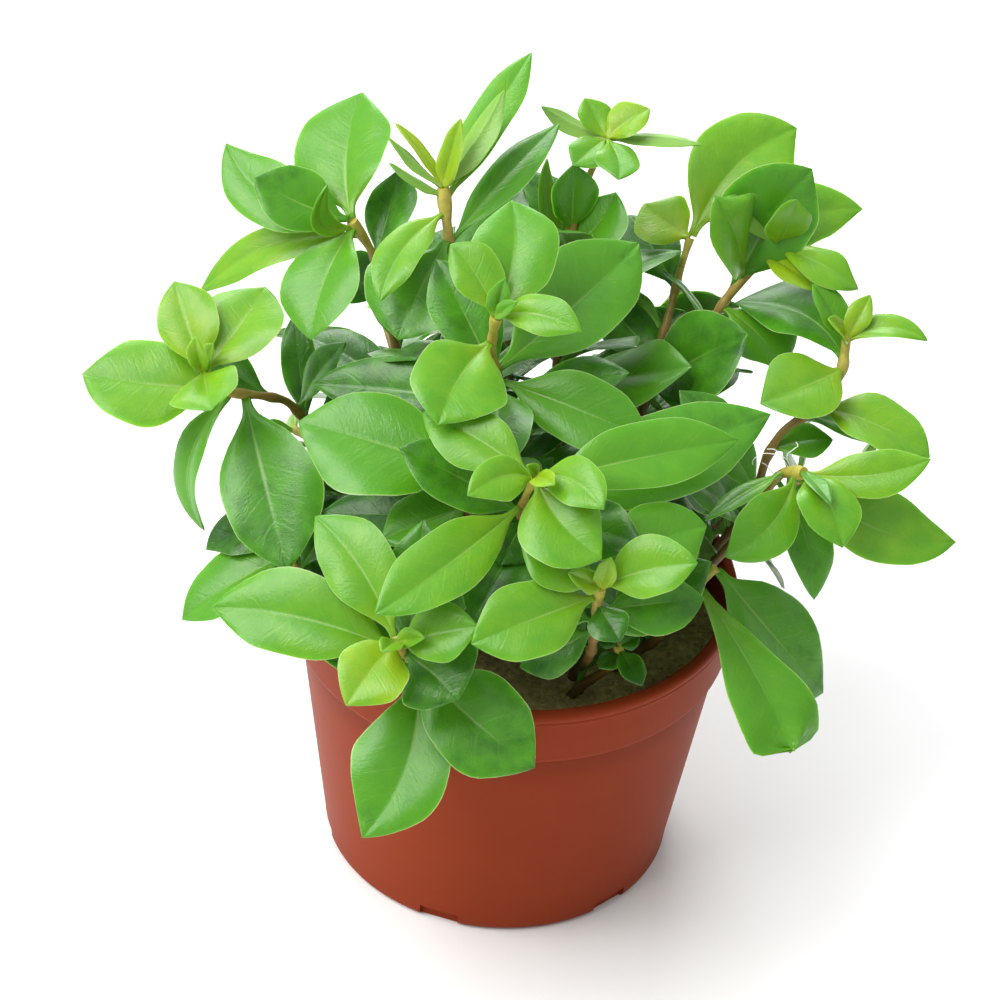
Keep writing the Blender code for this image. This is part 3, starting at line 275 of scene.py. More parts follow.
# Leaves read in the view: shoot, pixel of the base, pixel of the tip, width in pixels, depth of the tip
# beyond the base, arch and age from 0 to 1. Then form, roll in degrees, how many pixels the middle is
# drawn aside, and the name of a leaf with its own node. The others grow fused with their shoot.
Row = namedtuple("Row", "shoot base tip width reach arch age form roll sway name",
                 defaults=("broad", 0, (0, 0), ""))
LEAVES = (
    Row("left", (222, 392), (82, 374), 90, 0, 0.10, 0.35, sway=(0, 6), name="left_outer"),
    Row("left", (203, 370), (174, 281), 64, -2, 0.10, 0.2),
    Row("left", (206, 370), (266, 287), 84, -4, 0.10, 0.3, sway=(6, 0)),
    Row("left", (203, 372), (212, 410), 74, 8, 0.10, 0.3),
    Row("left", (203, 371), (196, 337), 20, 3, 0.05, 0.2, form="cup"),
    Row("left", (204, 371), (213, 343), 20, 3, 0.05, 0.2, form="cup"),
    Row("left", (245, 394), (288, 571), 102, 5, 0.06, 0.76, name="left_hanging"),
    Row("left", (232, 392), (205, 531), 46, -5, 0.16, 0.6, form="slim", roll=25, sway=(-20, 2)),
    Row("upper_left", (355, 221), (363, 92), 96, -6, 0.08, 0.5, sway=(-9, 4), name="upper_left_tall"),
    Row("upper_left", (352, 221), (226, 143), 66, -5, 0.10, 0.5, sway=(-12, 22), name="upper_left_far"),
    Row("upper_left", (352, 221), (254, 177), 66, 3, 0.10, 0.7, sway=(-3, 6), name="upper_left_dark"),
    Row("upper_left", (340, 240), (328, 184), 26, 6, 0.05, 0.35, form="slim", roll=50, sway=(-22, 16)),
    Row("upper_left", (355, 226), (311, 340), 74, 4, 0.12, 0.55, sway=(-5, 0)),
    Row("upper_left", (367, 236), (199, 294), 44, -9, 0.08, 0.25, sway=(-4, -18)),
    Row("top", (443, 192), (395, 123), 24, 0, 0.08, 0.0, form="slim", roll=20),
    Row("top", (443, 190), (505, 89), 32, 0, 0.10, 0.2, form="slim", roll=180),
    Row("top", (443, 190), (388, 137), 18, 3, 0.05, 0.2, form="slim", roll=180),
    Row("top", (444, 200), (389, 163), 22, 4, 0.05, 0.3, form="slim", roll=180),
    Row("top", (443, 189), (461, 118), 24, 2, 0.05, 0.05, form="cup"),
    Row("top", (446, 208), (532, 52), 44, -9, 0.06, 0.45),
    Row("top", (448, 246), (560, 123), 40, -8, 0.08, 0.7),
    Row("top", (444, 212), (380, 302), 44, 6, 0.14, 0.35, sway=(-8, -3)),
    Row("top", (448, 235), (398, 340), 100, 2, 0.10, 0.75, sway=(-1, 2), name="top_low"),
    Row("centre_top", (495, 323), (511, 200), 90, -5, 0.10, 0.5, sway=(10, 2), name="crown_up"),
    Row("centre_top", (496, 318), (450, 244), 52, 0, 0.10, 0.35, sway=(4, -3)),
    Row("centre_top", (496, 318), (582, 332), 42, 4, 0.12, 0.35, sway=(0, -8)),
    Row("centre_top", (496, 316), (505, 278), 24, 3, 0.05, 0.5, form="cup"),
    Row("centre_top", (498, 316), (517, 302), 15, 4, 0.05, 0.5, form="cup"),
    Row("centre_top", (491, 338), (438, 425), 98, 7, 0.12, 0.4, sway=(-5, -3), name="crown_front"),
    Row("centre_top", (496, 370), (639, 243), 102, -8, 0.06, 0.65, sway=(4, 3), name="crown_back"),
    Row("centre_top", (497, 380), (650, 440), 74, 2, 0.10, 0.62, name="crown_right"),
    Row("centre_top", (500, 405), (312, 384), 64, -5, 0.08, 0.85),
    Row("top_right", (558, 385), (692, 367), 66, 11, 0.08, 0.6, sway=(2, 6)),
    Row("rear_right", (648, 390), (748, 334), 92, 12, 0.08, 0.8),
    Row("left", (303, 425), (295, 312), 36, -1, 0.08, 0.85),
    Row("upper_left", (376, 262), (398, 170), 50, -3, 0.08, 0.85, sway=(4, 0)),
    Row("top", (453, 300), (505, 250), 60, -2, 0.08, 0.9),
    Row("upper_left", (386, 300), (330, 262), 56, -3, 0.08, 0.9),
    Row("upper_left", (390, 320), (455, 262), 60, -3, 0.08, 0.9),
    Row("top_right", (562, 290), (600, 232), 60, -4, 0.08, 0.9),
    Row("top_right", (560, 320), (510, 270), 60, -4, 0.08, 0.9),
    Row("rear_right", (655, 360), (600, 300), 64, -3, 0.08, 0.9),
    Row("mid_left", (456, 560), (474, 634), 52, 5, 0.08, 0.9),
    Row("centre_right", (594, 630), (520, 668), 56, -3, 0.10, 0.85),
    Row("low_right", (692, 592), (632, 520), 66, -3, 0.08, 0.9),
    Row("low_left", (298, 572), (362, 490), 60, -5, 0.08, 0.9),
    Row("right", (745, 520), (690, 470), 60, -4, 0.08, 0.9),
    Row("top_right", (605, 139), (541, 106), 28, 0, 0.12, 0.2, form="slim", roll=180),
    Row("top_right", (605, 139), (584, 98), 36, -1, 0.08, 0.35, form="slim"),
    Row("top_right", (606, 139), (650, 109), 38, 0, 0.10, 0.12, form="slim"),
    Row("top_right", (606, 139), (702, 145), 20, 1, 0.12, 0.25, form="slim", roll=180, sway=(0, -8)),
    Row("top_right", (604, 141), (573, 166), 40, 3, 0.10, 0.45),
    Row("top_right", (606, 141), (618, 180), 44, 5, 0.10, 0.45, sway=(6, 2)),
    Row("top_right", (566, 262), (547, 158), 26, 0, 0.08, 0.3, form="slim", roll=20, sway=(-10, 0)),
    Row("top_right", (572, 250), (524, 170), 52, -4, 0.08, 0.85),
    Row("top_right", (578, 230), (573, 164), 48, 5, 0.08, 0.6),
    Row("top_right", (574, 245), (616, 192), 54, 3, 0.10, 0.6, sway=(8, 6)),
    Row("rear_right", (688, 240), (643, 204), 62, -2, 0.10, 0.15, sway=(0, 4)),
    Row("rear_right", (688, 240), (797, 128), 100, -4, 0.08, 0.3, sway=(-10, -12), name="rear_tall"),
    Row("rear_right", (676, 290), (628, 215), 60, -6, 0.10, 0.85),
    Row("upper_right", (752, 262), (863, 209), 72, -4, 0.10, 0.3, sway=(-20, -14)),
    Row("upper_right", (775, 248), (720, 206), 34, 4, 0.10, 0.35, form="slim", roll=180, sway=(0, -12)),
    Row("upper_right", (776, 247), (796, 200), 42, 4, 0.10, 0.3),
    Row("upper_right", (727, 285), (812, 169), 98, 4, 0.08, 0.7, sway=(-6, -6)),
    Row("upper_right", (741, 276), (713, 198), 60, 7, 0.10, 0.4),
    Row("upper_right", (762, 258), (817, 292), 32, 4, 0.12, 0.05, form="slim"),
    Row("upper_right", (776, 248), (858, 290), 40, 1, 0.12, 0.3),
    Row("far_right", (844, 362), (735, 303), 68, -6, 0.08, 0.8, sway=(15, -12)),
    Row("upper_right", (713, 300), (783, 370), 62, 2, 0.08, 0.55, sway=(2, -4), name="upper_right_low"),
    Row("far_right", (847, 338), (812, 284), 34, 1, 0.12, 0.45, form="slim"),
    Row("far_right", (847, 338), (870, 295), 26, 0, 0.08, 0.1, form="slim"),
    Row("far_right", (847, 338), (928, 341), 26, 1, 0.12, 0.3, form="slim", sway=(0, -10)),
    Row("far_right", (846, 342), (828, 318), 16, 3, 0.08, 0.1, form="cup"),
    Row("far_right", (844, 372), (760, 404), 72, 5, 0.12, 0.3, sway=(4, 3)),
    Row("far_right", (815, 410), (930, 458), 58, 2, 0.10, 0.3, sway=(0, -4)),
    Row("far_right", (763, 448), (833, 440), 36, -2, 0.10, 0.6, sway=(0, -3)),
    Row("right", (800, 471), (931, 459), 48, 2, 0.12, 0.3, sway=(0, 11), name="right_side"),
    Row("right", (803, 473), (842, 548), 60, 5, 0.12, 0.4, sway=(4, -4)),
    Row("right", (803, 473), (831, 505), 18, 6, 0.05, 0.75, form="cup"),
    Row("right", (798, 470), (725, 557), 60, 3, 0.12, 0.45, sway=(10, 8), name="right_inner"),
    Row("right", (784, 470), (705, 521), 28, 4, 0.06, 0.5, roll=55),
    Row("right", (792, 467), (956, 542), 72, -4, 0.08, 0.35, sway=(-9, 20), name="right_low"),
    Row("right", (776, 478), (814, 600), 46, -2, 0.08, 0.7, sway=(8, 0)),
    Row("centre", (535, 478), (422, 413), 64, -3, 0.12, 0.4, sway=(2, -4), name="centre_up"),
    Row("centre", (535, 481), (467, 496), 46, 5, 0.12, 0.3, sway=(0, -10)),
    Row("centre", (537, 477), (604, 510), 50, 6, 0.12, 0.35, sway=(4, -10)),
    Row("centre", (537, 477), (555, 485), 22, 5, 0.05, 0.1, form="cup"),
    Row("centre", (536, 477), (527, 465), 14, 4, 0.05, 0.1, form="cup"),
    Row("centre", (533, 480), (602, 559), 84, 4, 0.12, 0.38, sway=(-9, 3), name="centre_down"),
    Row("centre", (525, 520), (500, 566), 50, 3, 0.10, 0.85),
    Row("centre", (522, 504), (374, 615), 70, 8, 0.08, 0.4, sway=(3, 4), name="centre_left"),
    Row("centre", (532, 482), (739, 440), 70, -6, 0.08, 0.55, name="centre_right"),
    Row("centre", (523, 515), (771, 414), 92, -6, 0.06, 0.7, name="centre_far_right"),
    Row("centre_right", (600, 588), (521, 544), 52, 1, 0.12, 0.4),
    Row("centre_right", (600, 590), (707, 526), 80, -4, 0.12, 0.5, sway=(-4, -9), name="centre_right_up"),
    Row("centre_right", (600, 588), (698, 563), 62, 4, 0.12, 0.35, sway=(0, -4)),
    Row("centre_right", (599, 596), (471, 644), 80, 4, 0.12, 0.4, name="centre_right_down"),
    Row("centre_right", (600, 587), (568, 573), 24, 4, 0.05, 0.15, form="cup"),
    Row("centre_right", (600, 587), (611, 557), 22, 3, 0.05, 0.15, form="cup"),
    Row("centre_right", (599, 604), (620, 642), 42, 2, 0.10, 0.9),
    Row("centre_right", (597, 612), (704, 598), 60, -1, 0.08, 0.75, name="centre_right_low"),
    Row("lower_left", (397, 643), (315, 516), 74, -3, 0.12, 0.38, sway=(9, -5), name="lower_left_up"),
    Row("lower_left", (396, 643), (346, 706), 72, 4, 0.14, 0.12, sway=(2, -5)),
    Row("lower_left", (396, 643), (479, 626), 60, 3, 0.12, 0.4),
    Row("lower_left", (403, 652), (458, 700), 92, 3, 0.10, 0.8, sway=(2, -2), name="lower_left_dark"),
    Row("lower_left", (396, 642), (382, 652), 20, 5, 0.05, 0.25, form="cup"),
    Row("lower_left", (397, 641), (424, 638), 20, 5, 0.05, 0.25, form="cup"),
    Row("lower_left", (405, 654), (212, 608), 88, -3, 0.10, 0.45, sway=(0, -10), name="lower_left_side"),
    Row("lower_left", (414, 661), (535, 768), 100, 3, 0.14, 0.75, sway=(-3, 4), name="lower_left_hang"),
    Row("lower_left", (418, 664), (362, 838), 100, 3, 0.12, 0.65, sway=(22, 5), name="lower_left_drop"),
    Row("low_right", (698, 586), (792, 748), 86, 9, 0.14, 0.5, form="worn", sway=(-3, 2),
        name="low_right_tip"),
    Row("low_right", (716, 568), (823, 693), 94, -11, 0.12, 0.7, sway=(-7, 3), name="low_right_hang"),
    Row("plantlet", (617, 650), (642, 686), 26, 3, 0.10, 0.9),
    Row("plantlet", (617, 648), (600, 634), 22, 0, 0.10, 0.9),
    Row("plantlet", (618, 654), (598, 668), 20, 3, 0.10, 0.9),
    Row("plantlet", (617, 648), (640, 636), 22, 0, 0.10, 0.9),
    Row("mid_left", (476, 474), (298, 422), 108, -2, 0.08, 0.65, name="mid_left_big"),
    Row("mid_left", (472, 505), (382, 540), 64, 2, 0.08, 0.6),
    Row("mid_left", (466, 520), (318, 515), 60, -6, 0.08, 0.9),
    Row("mid_left", (452, 570), (506, 594), 48, 5, 0.08, 0.9),
    Row("low_left", (290, 555), (182, 620), 58, -2, 0.12, 0.6),
    Row("low_left", (286, 548), (206, 550), 50, -3, 0.10, 0.85, sway=(2, -16)),
)

# Fine white fibres caught on the joint of one shoot, as pixel, pixel and depth.
# Each starts inside the stem.
FIBRES_ON = "right"
FIBRES = (
    ((791, 468, 24.0), (785, 458, 25.4), (773, 454, 25.8), (761, 454, 25.6), (753, 460, 25.2),
     (753, 465, 25.0)),
    ((791, 468, 24.0), (787, 456, 25.4), (794, 449, 25.8), (798, 446, 25.9), (796, 442, 25.8)),
    ((789, 468, 24.0), (777, 451, 25.2), (767, 449, 24.8)),
    ((777, 478, 22.0), (770, 470, 23.4), (766, 465, 23.8), (762, 463, 23.6)),
)
FIBRE_RADIUS = 0.055
FIBRE_POINTS = 25
FIBRE_SIDES = 6

# Old leaves inside the bush, in opposite pairs low on the stems, wherever there is room for them
INNER_SHARES = (0.28, 0.40, 0.52, 0.64, 0.76)
INNER_LENGTHS = (16.0, 13.0, 10.5, 8.5)
INNER_TURNS = (0.0, 25.0, -25.0, 50.0, -50.0)
INNER_ROOM = 0.55
INNER_MARGIN = 1.0
INNER_STEM_ROOM = 0.9
INNER_LOWEST = 1.5
ROOM_STRIDE = 3
INNER_SHOOT_TURN = 37.0
INNER_REFERENCE = np.array([0.3, 1.0, 0.1])
INNER_RISE = 0.45
INNER_START = 0.4
INNER_WIDTH = 0.50
OLD_ARCH = 0.12
OLD_AGE = (0.95, -0.2)

# The outline in the view inside which such leaves may show
BUSH = ((303, 322), (335, 322), (368, 335), (370, 262), (392, 222), (394, 172), (440, 222), (470, 200),
        (505, 168), (560, 172), (600, 190), (628, 232), (660, 205), (690, 250), (730, 215), (800, 225),
        (828, 300), (775, 340), (750, 385), (715, 405), (700, 470), (735, 500), (722, 560), (700, 600),
        (600, 632), (520, 650), (430, 600), (330, 560), (303, 480))

# How leaves are kept clear of one another and of the stems, in millimetres and shares of a length
CLEAR = 0.85
STEM_CLEAR = 0.65
BOX_MARGIN = 2.0
LOOK_REACH = 40.0
OWN_NODE_SHARE = 0.06
OWN_STEM_SHARE = 0.16
OWN_STALK_SKIP = 0.12
FUSED_SKIP = 0.4
LARGEST_LACK = 3.0
SETTLE_ROUNDS = 45
SETTLE_GAIN = 0.77
PUSH_SHARE = 0.5
NUDGE_SHARE = 0.1
LOOK_START = 0.4
STEM_STRIDE = 4
SETTLED = 0.02
SAMPLE_T = np.linspace(0.1, 1.0, 7)
SAMPLE_S = (-1.0, 0.0, 1.0)


def unit(vector):
    return vector / max(1e-9, float(np.linalg.norm(vector)))


def at(px, py, depth):
    """The point seen at a pixel, at a depth in front of the rim's centre."""
    scale = (VIEW_DISTANCE - depth) / VIEW_FOCAL
    across = (px - VIEW_CENTRE[0]) * scale
    upward = (VIEW_CENTRE[1] - py) * scale
    return RIM_CENTRE + across * VIEW_RIGHT + upward * VIEW_UP + depth * BACK


def pixel_of(point):
    """The pixel and the depth at which a point is seen."""
    offset = point - RIM_CENTRE
    depth = float(offset @ BACK)
    scale = VIEW_FOCAL / (VIEW_DISTANCE - depth)
    return (VIEW_CENTRE[0] + scale * float(offset @ VIEW_RIGHT),
            VIEW_CENTRE[1] - scale * float(offset @ VIEW_UP), depth)


def direction(azimuth, elevation):
    azimuth = math.radians(azimuth)
    elevation = math.radians(elevation)
    flat = math.cos(elevation)
    return np.array([flat * math.cos(azimuth), flat * math.sin(azimuth), math.sin(elevation)])


def smooth_path(points, count):
    """Evenly spaced points of a smooth curve through the given ones."""
    points = np.array(points, float)
    padded = np.vstack([2 * points[0] - points[1], points, 2 * points[-1] - points[-2]])
    fine = []
    for i in range(1, len(padded) - 2):
        p0, p1, p2, p3 = padded[i - 1:i + 3]
        for t in np.linspace(0, 1, SPAN_STEPS, endpoint=False):
            fine.append(0.5 * (2 * p1 + (p2 - p0) * t + (2 * p0 - 5 * p1 + 4 * p2 - p3) * t ** 2
                               + (3 * p1 - p0 - 3 * p2 + p3) * t ** 3))
    fine.append(padded[-2])
    fine = np.array(fine)
    run = np.concatenate([[0], np.cumsum(np.linalg.norm(np.diff(fine, axis=0), axis=1))])
    wanted = np.linspace(0, run[-1], count)
    return np.stack([np.interp(wanted, run, fine[:, k]) for k in range(3)], axis=1)


def stem_line(points):
    """Stem centre line: straight runs between a few points of the smooth curve."""
    corners = smooth_path(points, STEM_RUNS + 1)
    shares = np.linspace(0, STEM_RUNS, LINE_POINTS)
    return np.stack([np.interp(shares, range(STEM_RUNS + 1), corners[:, k]) for k in range(3)], axis=1)


def stem_radius(share):
    return STEM_FOOT + (STEM_TIP - STEM_FOOT) * share


def foot_of(place):
    """The points of a stem at the soil, from its socket up."""
    return [(*place, SOIL_TOP - SOCKET_DEPTH), (*place, SOIL_TOP + STEM_RISE)]


def make_stems():
    """Shoot name -> (fine path, facing direction)."""
    stems = {}
    for name, (foot, points, facing) in SHOOTS.items():
        stems[name] = (stem_line(foot_of(foot) + [at(*point) for point in points]), direction(*facing))
    for name, (foot, points, *_) in REAR_SHOOTS.items():
        outward = math.degrees(math.atan2(points[-1][1], points[-1][0]))
        stems[name] = (stem_line(foot_of(foot) + list(points)), direction(outward, REAR_FACING))
    return stems


def nearest_station(path, px, py):
    """Share of the stem's length whose point is seen nearest to a pixel."""
    seen = np.array([pixel_of(point)[:2] for point in path])
    return int(np.argmin((seen[:, 0] - px) ** 2 + (seen[:, 1] - py) ** 2)) / (len(path) - 1)


def point_on(path, share):
    place = share * (len(path) - 1)
    low = min(int(place), len(path) - 2)
    return path[low] + (path[low + 1] - path[low]) * (place - low)


def heading_on(path, share):
    """The way that a stem runs at a share of its length."""
    ahead = point_on(path, min(1.0, share + HEADING_STEP))
    return unit(ahead - point_on(path, max(0.0, share - HEADING_STEP)))


def spoke(along, reference, turn):
    """A direction square to a stem, at an angle in degrees round it."""
    across = unit(np.cross(along, reference))
    angle = math.radians(turn)
    return math.cos(angle) * across + math.sin(angle) * np.cross(along, across)


class Leaf:
    """One leaf: base, tip, the middle control point of its curve, greatest width and facing."""

    def __init__(self, name, shoot, share, base, tip, width, facing, roll, arch, form, age):
        self.name = name
        self.shoot = shoot
        self.share = share
        self.form = form
        self.age = age
        along = unit(tip - base)
        normal = unit(facing - (facing @ along) * along)
        side = np.cross(along, normal)
        turn = math.radians(roll)
        self.normal = math.cos(turn) * normal + math.sin(turn) * side
        self.width = width
        if name:
            base = base + along * (stem_radius(share) + GAP + FOOT_STAND)
        self.base = base
        self.tip = tip
        length = float(np.linalg.norm(tip - base))
        self.middle = 0.5 * (base + tip) + self.normal * arch * length

    def frame(self, t):
        """Centre, side and normal directions at a share of the length."""
        centre = (1 - t) ** 2 * self.base + 2 * t * (1 - t) * self.middle + t ** 2 * self.tip
        along = unit(2 * (1 - t) * (self.middle - self.base) + 2 * t * (self.tip - self.middle))
        normal = unit(self.normal - (self.normal @ along) * along)
        return centre, np.cross(along, normal), normal

    def half_width(self, t):
        shape = float(np.interp(t, OUTLINE_AT, OUTLINE[self.form]))
        return max(LEAST_HALF, 0.5 * self.width * shape)

    def samples(self):
        """Points of the middle surface, one row per station."""
        points = []
        for t in SAMPLE_T:
            centre, side, normal = self.frame(t)
            half = self.half_width(t)
            lift = FOLD[self.form] * half * min(1.0, FOLD_OPENING * t) * (1.0 - FOLD_CLOSING * t)
            points.append([centre + side * half * s + normal * lift * abs(s) for s in SAMPLE_S])
        return np.array(points)


def apparent_share(along, facing):
    """How much of a leaf's true width shows across its length in the view."""
    side = np.cross(along, unit(facing - (facing @ along) * along))
    flat_side = side - (side @ BACK) * BACK
    flat_along = unit(along - (along @ BACK) * BACK)
    return max(LEAST_SHOWN, float(np.linalg.norm(flat_side - (flat_side @ flat_along) * flat_along)))


def make_leaves(stems):
    """The leaves of the table, then the pairs on the rear shoots."""
    leaves = []
    for row in LEAVES:
        path, facing = stems[row.shoot]
        share = nearest_station(path, *row.base)
        base = point_on(path, share)
        depth = pixel_of(base)[2]
        tip = at(*row.tip, depth + row.reach)
        scale = (VIEW_DISTANCE - depth) / VIEW_FOCAL
        width = row.width * scale
        if abs(row.roll) < MOST_ROLL:
            width /= apparent_share(unit(tip - base), facing)
        leaf = Leaf(row.name, row.shoot, share, base, tip, width, facing, row.roll, row.arch, row.form,
                    row.age)
        leaf.middle = leaf.middle + 2 * scale * (row.sway[0] * VIEW_RIGHT - row.sway[1] * VIEW_UP)
        leaves.append(leaf)
    for name, (_, _, pairs, turn, longest) in REAR_SHOOTS.items():
        for pair in range(pairs):
            leaves += rear_pair(name, *stems[name], pair / (pairs - 1), turn + 90.0 * pair, longest)
    return leaves


def rear_pair(shoot, path, facing, young, turn, longest):
    """Two opposite leaves; each pair is turned a quarter against the one below it."""
    share = REAR_SHARE[0] + REAR_SHARE[1] * young
    length = longest * (1.0 - REAR_SHORTER * young ** 2)
    base = point_on(path, share)
    along = heading_on(path, share)
    out = spoke(along, UPWARD, turn)
    rise = REAR_RISE[0] + REAR_RISE[1] * young
    age = REAR_AGE[0] + REAR_AGE[1] * young
    face = unit(along + REAR_LEAN * facing)
    tips = [base + unit(sign * out + rise * along - REAR_DROOP * UPWARD) * length for sign in (1, -1)]
    return [Leaf("", shoot, share, base, tip, REAR_WIDTH * length, face, 0, OLD_ARCH, "broad", age)
            for tip in tips]


# Keeping leaves clear

def grid_faces(grid, first=0):
    """Four-sided faces of a grid of points, the first of which has this number."""
    rows, columns = grid.shape[:2]
    corners = [first + i * columns + j for i in range(rows - 1) for j in range(columns - 1)]
    return [(a, a + 1, a + columns + 1, a + columns) for a in corners]


def coarse_tree(points):
    faces = [face for a, b, c, d in grid_faces(points) for face in ((a, b, c), (a, c, d))]
    return BVHTree.FromPolygons([tuple(point) for point in points.reshape(-1, 3)], faces)


def signed_gap(tree, point):
    """How far a point lies in front of a surface along the view, or None where it misses it."""
    for sign in (1.0, -1.0):
        hit = tree.ray_cast(Vector(point), Vector(-sign * BACK), LOOK_REACH)
        if hit[0] is not None:
            return sign * hit[3]
    return None


def gaps(points, tree):
    return [signed_gap(tree, point) for point in points.reshape(-1, 3)]


def near(box_a, box_b):
    return bool(np.all(box_a[0] < box_b[1] + BOX_MARGIN) and np.all(box_b[0] < box_a[1] + BOX_MARGIN))


def view_box(points):
    flat = points.reshape(-1, 3) - RIM_CENTRE
    seen = np.stack([flat @ VIEW_RIGHT, flat @ VIEW_UP], axis=1)
    return seen.min(axis=0), seen.max(axis=0)


def skip_share(first, second):
    """Share of the length near the base that isn't kept clear between two leaves."""
    if first.shoot != second.shoot:
        return 0.0
    if first.name or second.name:
        return OWN_STALK_SKIP if abs(first.share - second.share) < OWN_NODE_SHARE else 0.0
    return FUSED_SKIP


def layer_order(leaves, shapes, trees, boxes):
    """For each pair that meets in the view, the sign of (first in front of second)."""
    order = {}
    for i in range(len(leaves)):
        for j in range(i + 1, len(leaves)):
            if not near(boxes[i], boxes[j]):
                continue
            found = [g for g in gaps(shapes[i], trees[j]) if g is not None]
            found += [-g for g in gaps(shapes[j], trees[i]) if g is not None]
            if found:
                order[(i, j)] = 1.0 if float(np.mean(found)) >= 0 else -1.0
    return order


def stem_pushes(leaf, points, stems, sides, key):
    """How far each sample must move along the view to clear the stems."""
    pushes = np.zeros(points.shape[:2])
    for name, (path, _) in stems.items():
        coarse = path[::STEM_STRIDE]
        offsets = points[:, :, None, :] - coarse[None, None]
        share = np.arange(len(coarse)) * STEM_STRIDE / (len(path) - 1)
        lack = (stem_radius(share) + STEM_CLEAR)[None, None] - np.linalg.norm(offsets, axis=3)
        if name == leaf.shoot:
            lack[:, :, np.abs(share - leaf.share) < OWN_STEM_SHARE] = -1.0
        worst = np.unravel_index(np.argmax(lack), lack.shape)
        if lack[worst] <= 0:
            continue
        if (key, name) not in sides:
            sides[(key, name)] = 1.0 if (offsets @ BACK)[worst] >= 0 else -1.0
        pushes += np.maximum(lack.max(axis=2), 0.0) * sides[(key, name)]
    return pushes


def settle(leaves, stems):
    """Moves tips and middles along the view until the leaves and stems are clear of one another."""
    shapes = [leaf.samples() for leaf in leaves]
    trees = [coarse_tree(shape) for shape in shapes]
    order = layer_order(leaves, shapes, trees, [view_box(shape) for shape in shapes])
    sides = {}
    for _ in range(SETTLE_ROUNDS):
        pushes = [stem_pushes(leaf, shapes[i], stems, sides, i) for i, leaf in enumerate(leaves)]
        for (i, j), sign in order.items():
            skipped = skip_share(leaves[i], leaves[j])
            push_pair(shapes, trees, pushes, i, j, sign, skipped)
            push_pair(shapes, trees, pushes, j, i, -sign, skipped)
        moved = max(move_leaf(leaf, pushes[i]) for i, leaf in enumerate(leaves))
        shapes = [leaf.samples() for leaf in leaves]
        trees = [coarse_tree(shape) for shape in shapes]
        if moved < SETTLED:
            break


def push_pair(shapes, trees, pushes, i, j, sign, skipped):
    """Adds to the pushes on one leaf what keeps it on its own side of another."""
    columns = shapes[i].shape[1]
    for index, gap in enumerate(gaps(shapes[i], trees[j])):
        row, column = divmod(index, columns)
        if SAMPLE_T[row] < skipped:
            continue
        if gap is None:
            spot = trees[j].find_nearest(Vector(shapes[i][row][column]), CLEAR)
            if spot[0] is None:
                continue
            lack = CLEAR - spot[3]
        else:
            lack = CLEAR - sign * gap
        if lack > 0:
            pushes[i][row][column] += sign * min(lack, LARGEST_LACK) * PUSH_SHARE
            if gap is None:
                pushes[j][SAMPLE_T.size // 2] -= NUDGE_SHARE * sign * lack


def move_leaf(leaf, pushes):
    """Moves a leaf by the pushes on its samples; returns how far."""
    active = np.abs(pushes) > 1e-6
    if not active.any():
        return 0.0
    tip, middle = [float((pushes * weight[:, None] * active).sum() / active.sum())
                   for weight in (SAMPLE_T ** 2, 2 * SAMPLE_T * (1 - SAMPLE_T))]
    leaf.tip = leaf.tip + BACK * SETTLE_GAIN * tip
    leaf.middle = leaf.middle + BACK * SETTLE_GAIN * (middle + 0.5 * tip)
    return SETTLE_GAIN * max(abs(tip), abs(middle))


# Leaves inside the bush

def inside_bush(px, py):
    """Whether a pixel lies in the outline of the bush."""
    inside = False
    for (ax, ay), (bx, by) in zip(BUSH, BUSH[1:] + BUSH[:1]):
        if (ay > py) != (by > py) and px < ax + (py - ay) / (by - ay) * (bx - ax):
            inside = not inside
    return inside


def hidden(point, tree):
    """Whether a leaf stands between this point and the eye."""
    to_eye = unit(RIM_CENTRE + BACK * VIEW_DISTANCE - point)
    return tree.ray_cast(Vector(point + LOOK_START * to_eye), Vector(to_eye))[0] is not None


def joined_tree(shapes):
    points = []
    faces = []
    for shape in shapes:
        faces += grid_faces(shape, len(points))
        points += [tuple(point) for point in shape.reshape(-1, 3)]
    return BVHTree.FromPolygons(points, faces)


def has_room(shape, tree, stems, box):
    """Whether a leaf touches nothing, stays in the box of the plant and leaves the view as it is."""
    if tree.overlap(coarse_tree(shape)):
        return False
    for point in shape[2:].reshape(-1, 3):
        if tree.find_nearest(Vector(point), INNER_ROOM)[0] is not None:
            return False
        if np.any(point < box[0]) or np.any(point > box[1]):
            return False
        px, py, _ = pixel_of(point)
        if not inside_bush(px, py) and not hidden(point, tree):
            return False
    for path, _ in stems.values():
        distance = np.linalg.norm(shape[1:, :, None, :] - path[None, None, ::ROOM_STRIDE], axis=3)
        if distance.min() < INNER_STEM_ROOM:
            return False
    return True


def fill_inside(leaves, stems):
    """The extra old leaves, each in the first place and size for which there is room."""
    shapes = [leaf.samples() for leaf in leaves]
    everything = np.concatenate([shape.reshape(-1, 3) for shape in shapes])
    box = (everything.min(axis=0) + INNER_MARGIN, everything.max(axis=0) - INNER_MARGIN)
    box[0][2] = SOIL_TOP + INNER_LOWEST
    added = []
    for number, (name, (path, _)) in enumerate(stems.items()):
        for pair, share in enumerate(INNER_SHARES):
            for sign in (1, -1):
                first_turn = 90.0 * pair + INNER_SHOOT_TURN * number
                leaf = first_with_room(name, path, share, sign, first_turn, shapes, stems, box)
                if leaf is not None:
                    added.append(leaf)
                    shapes.append(leaf.samples())
    return added


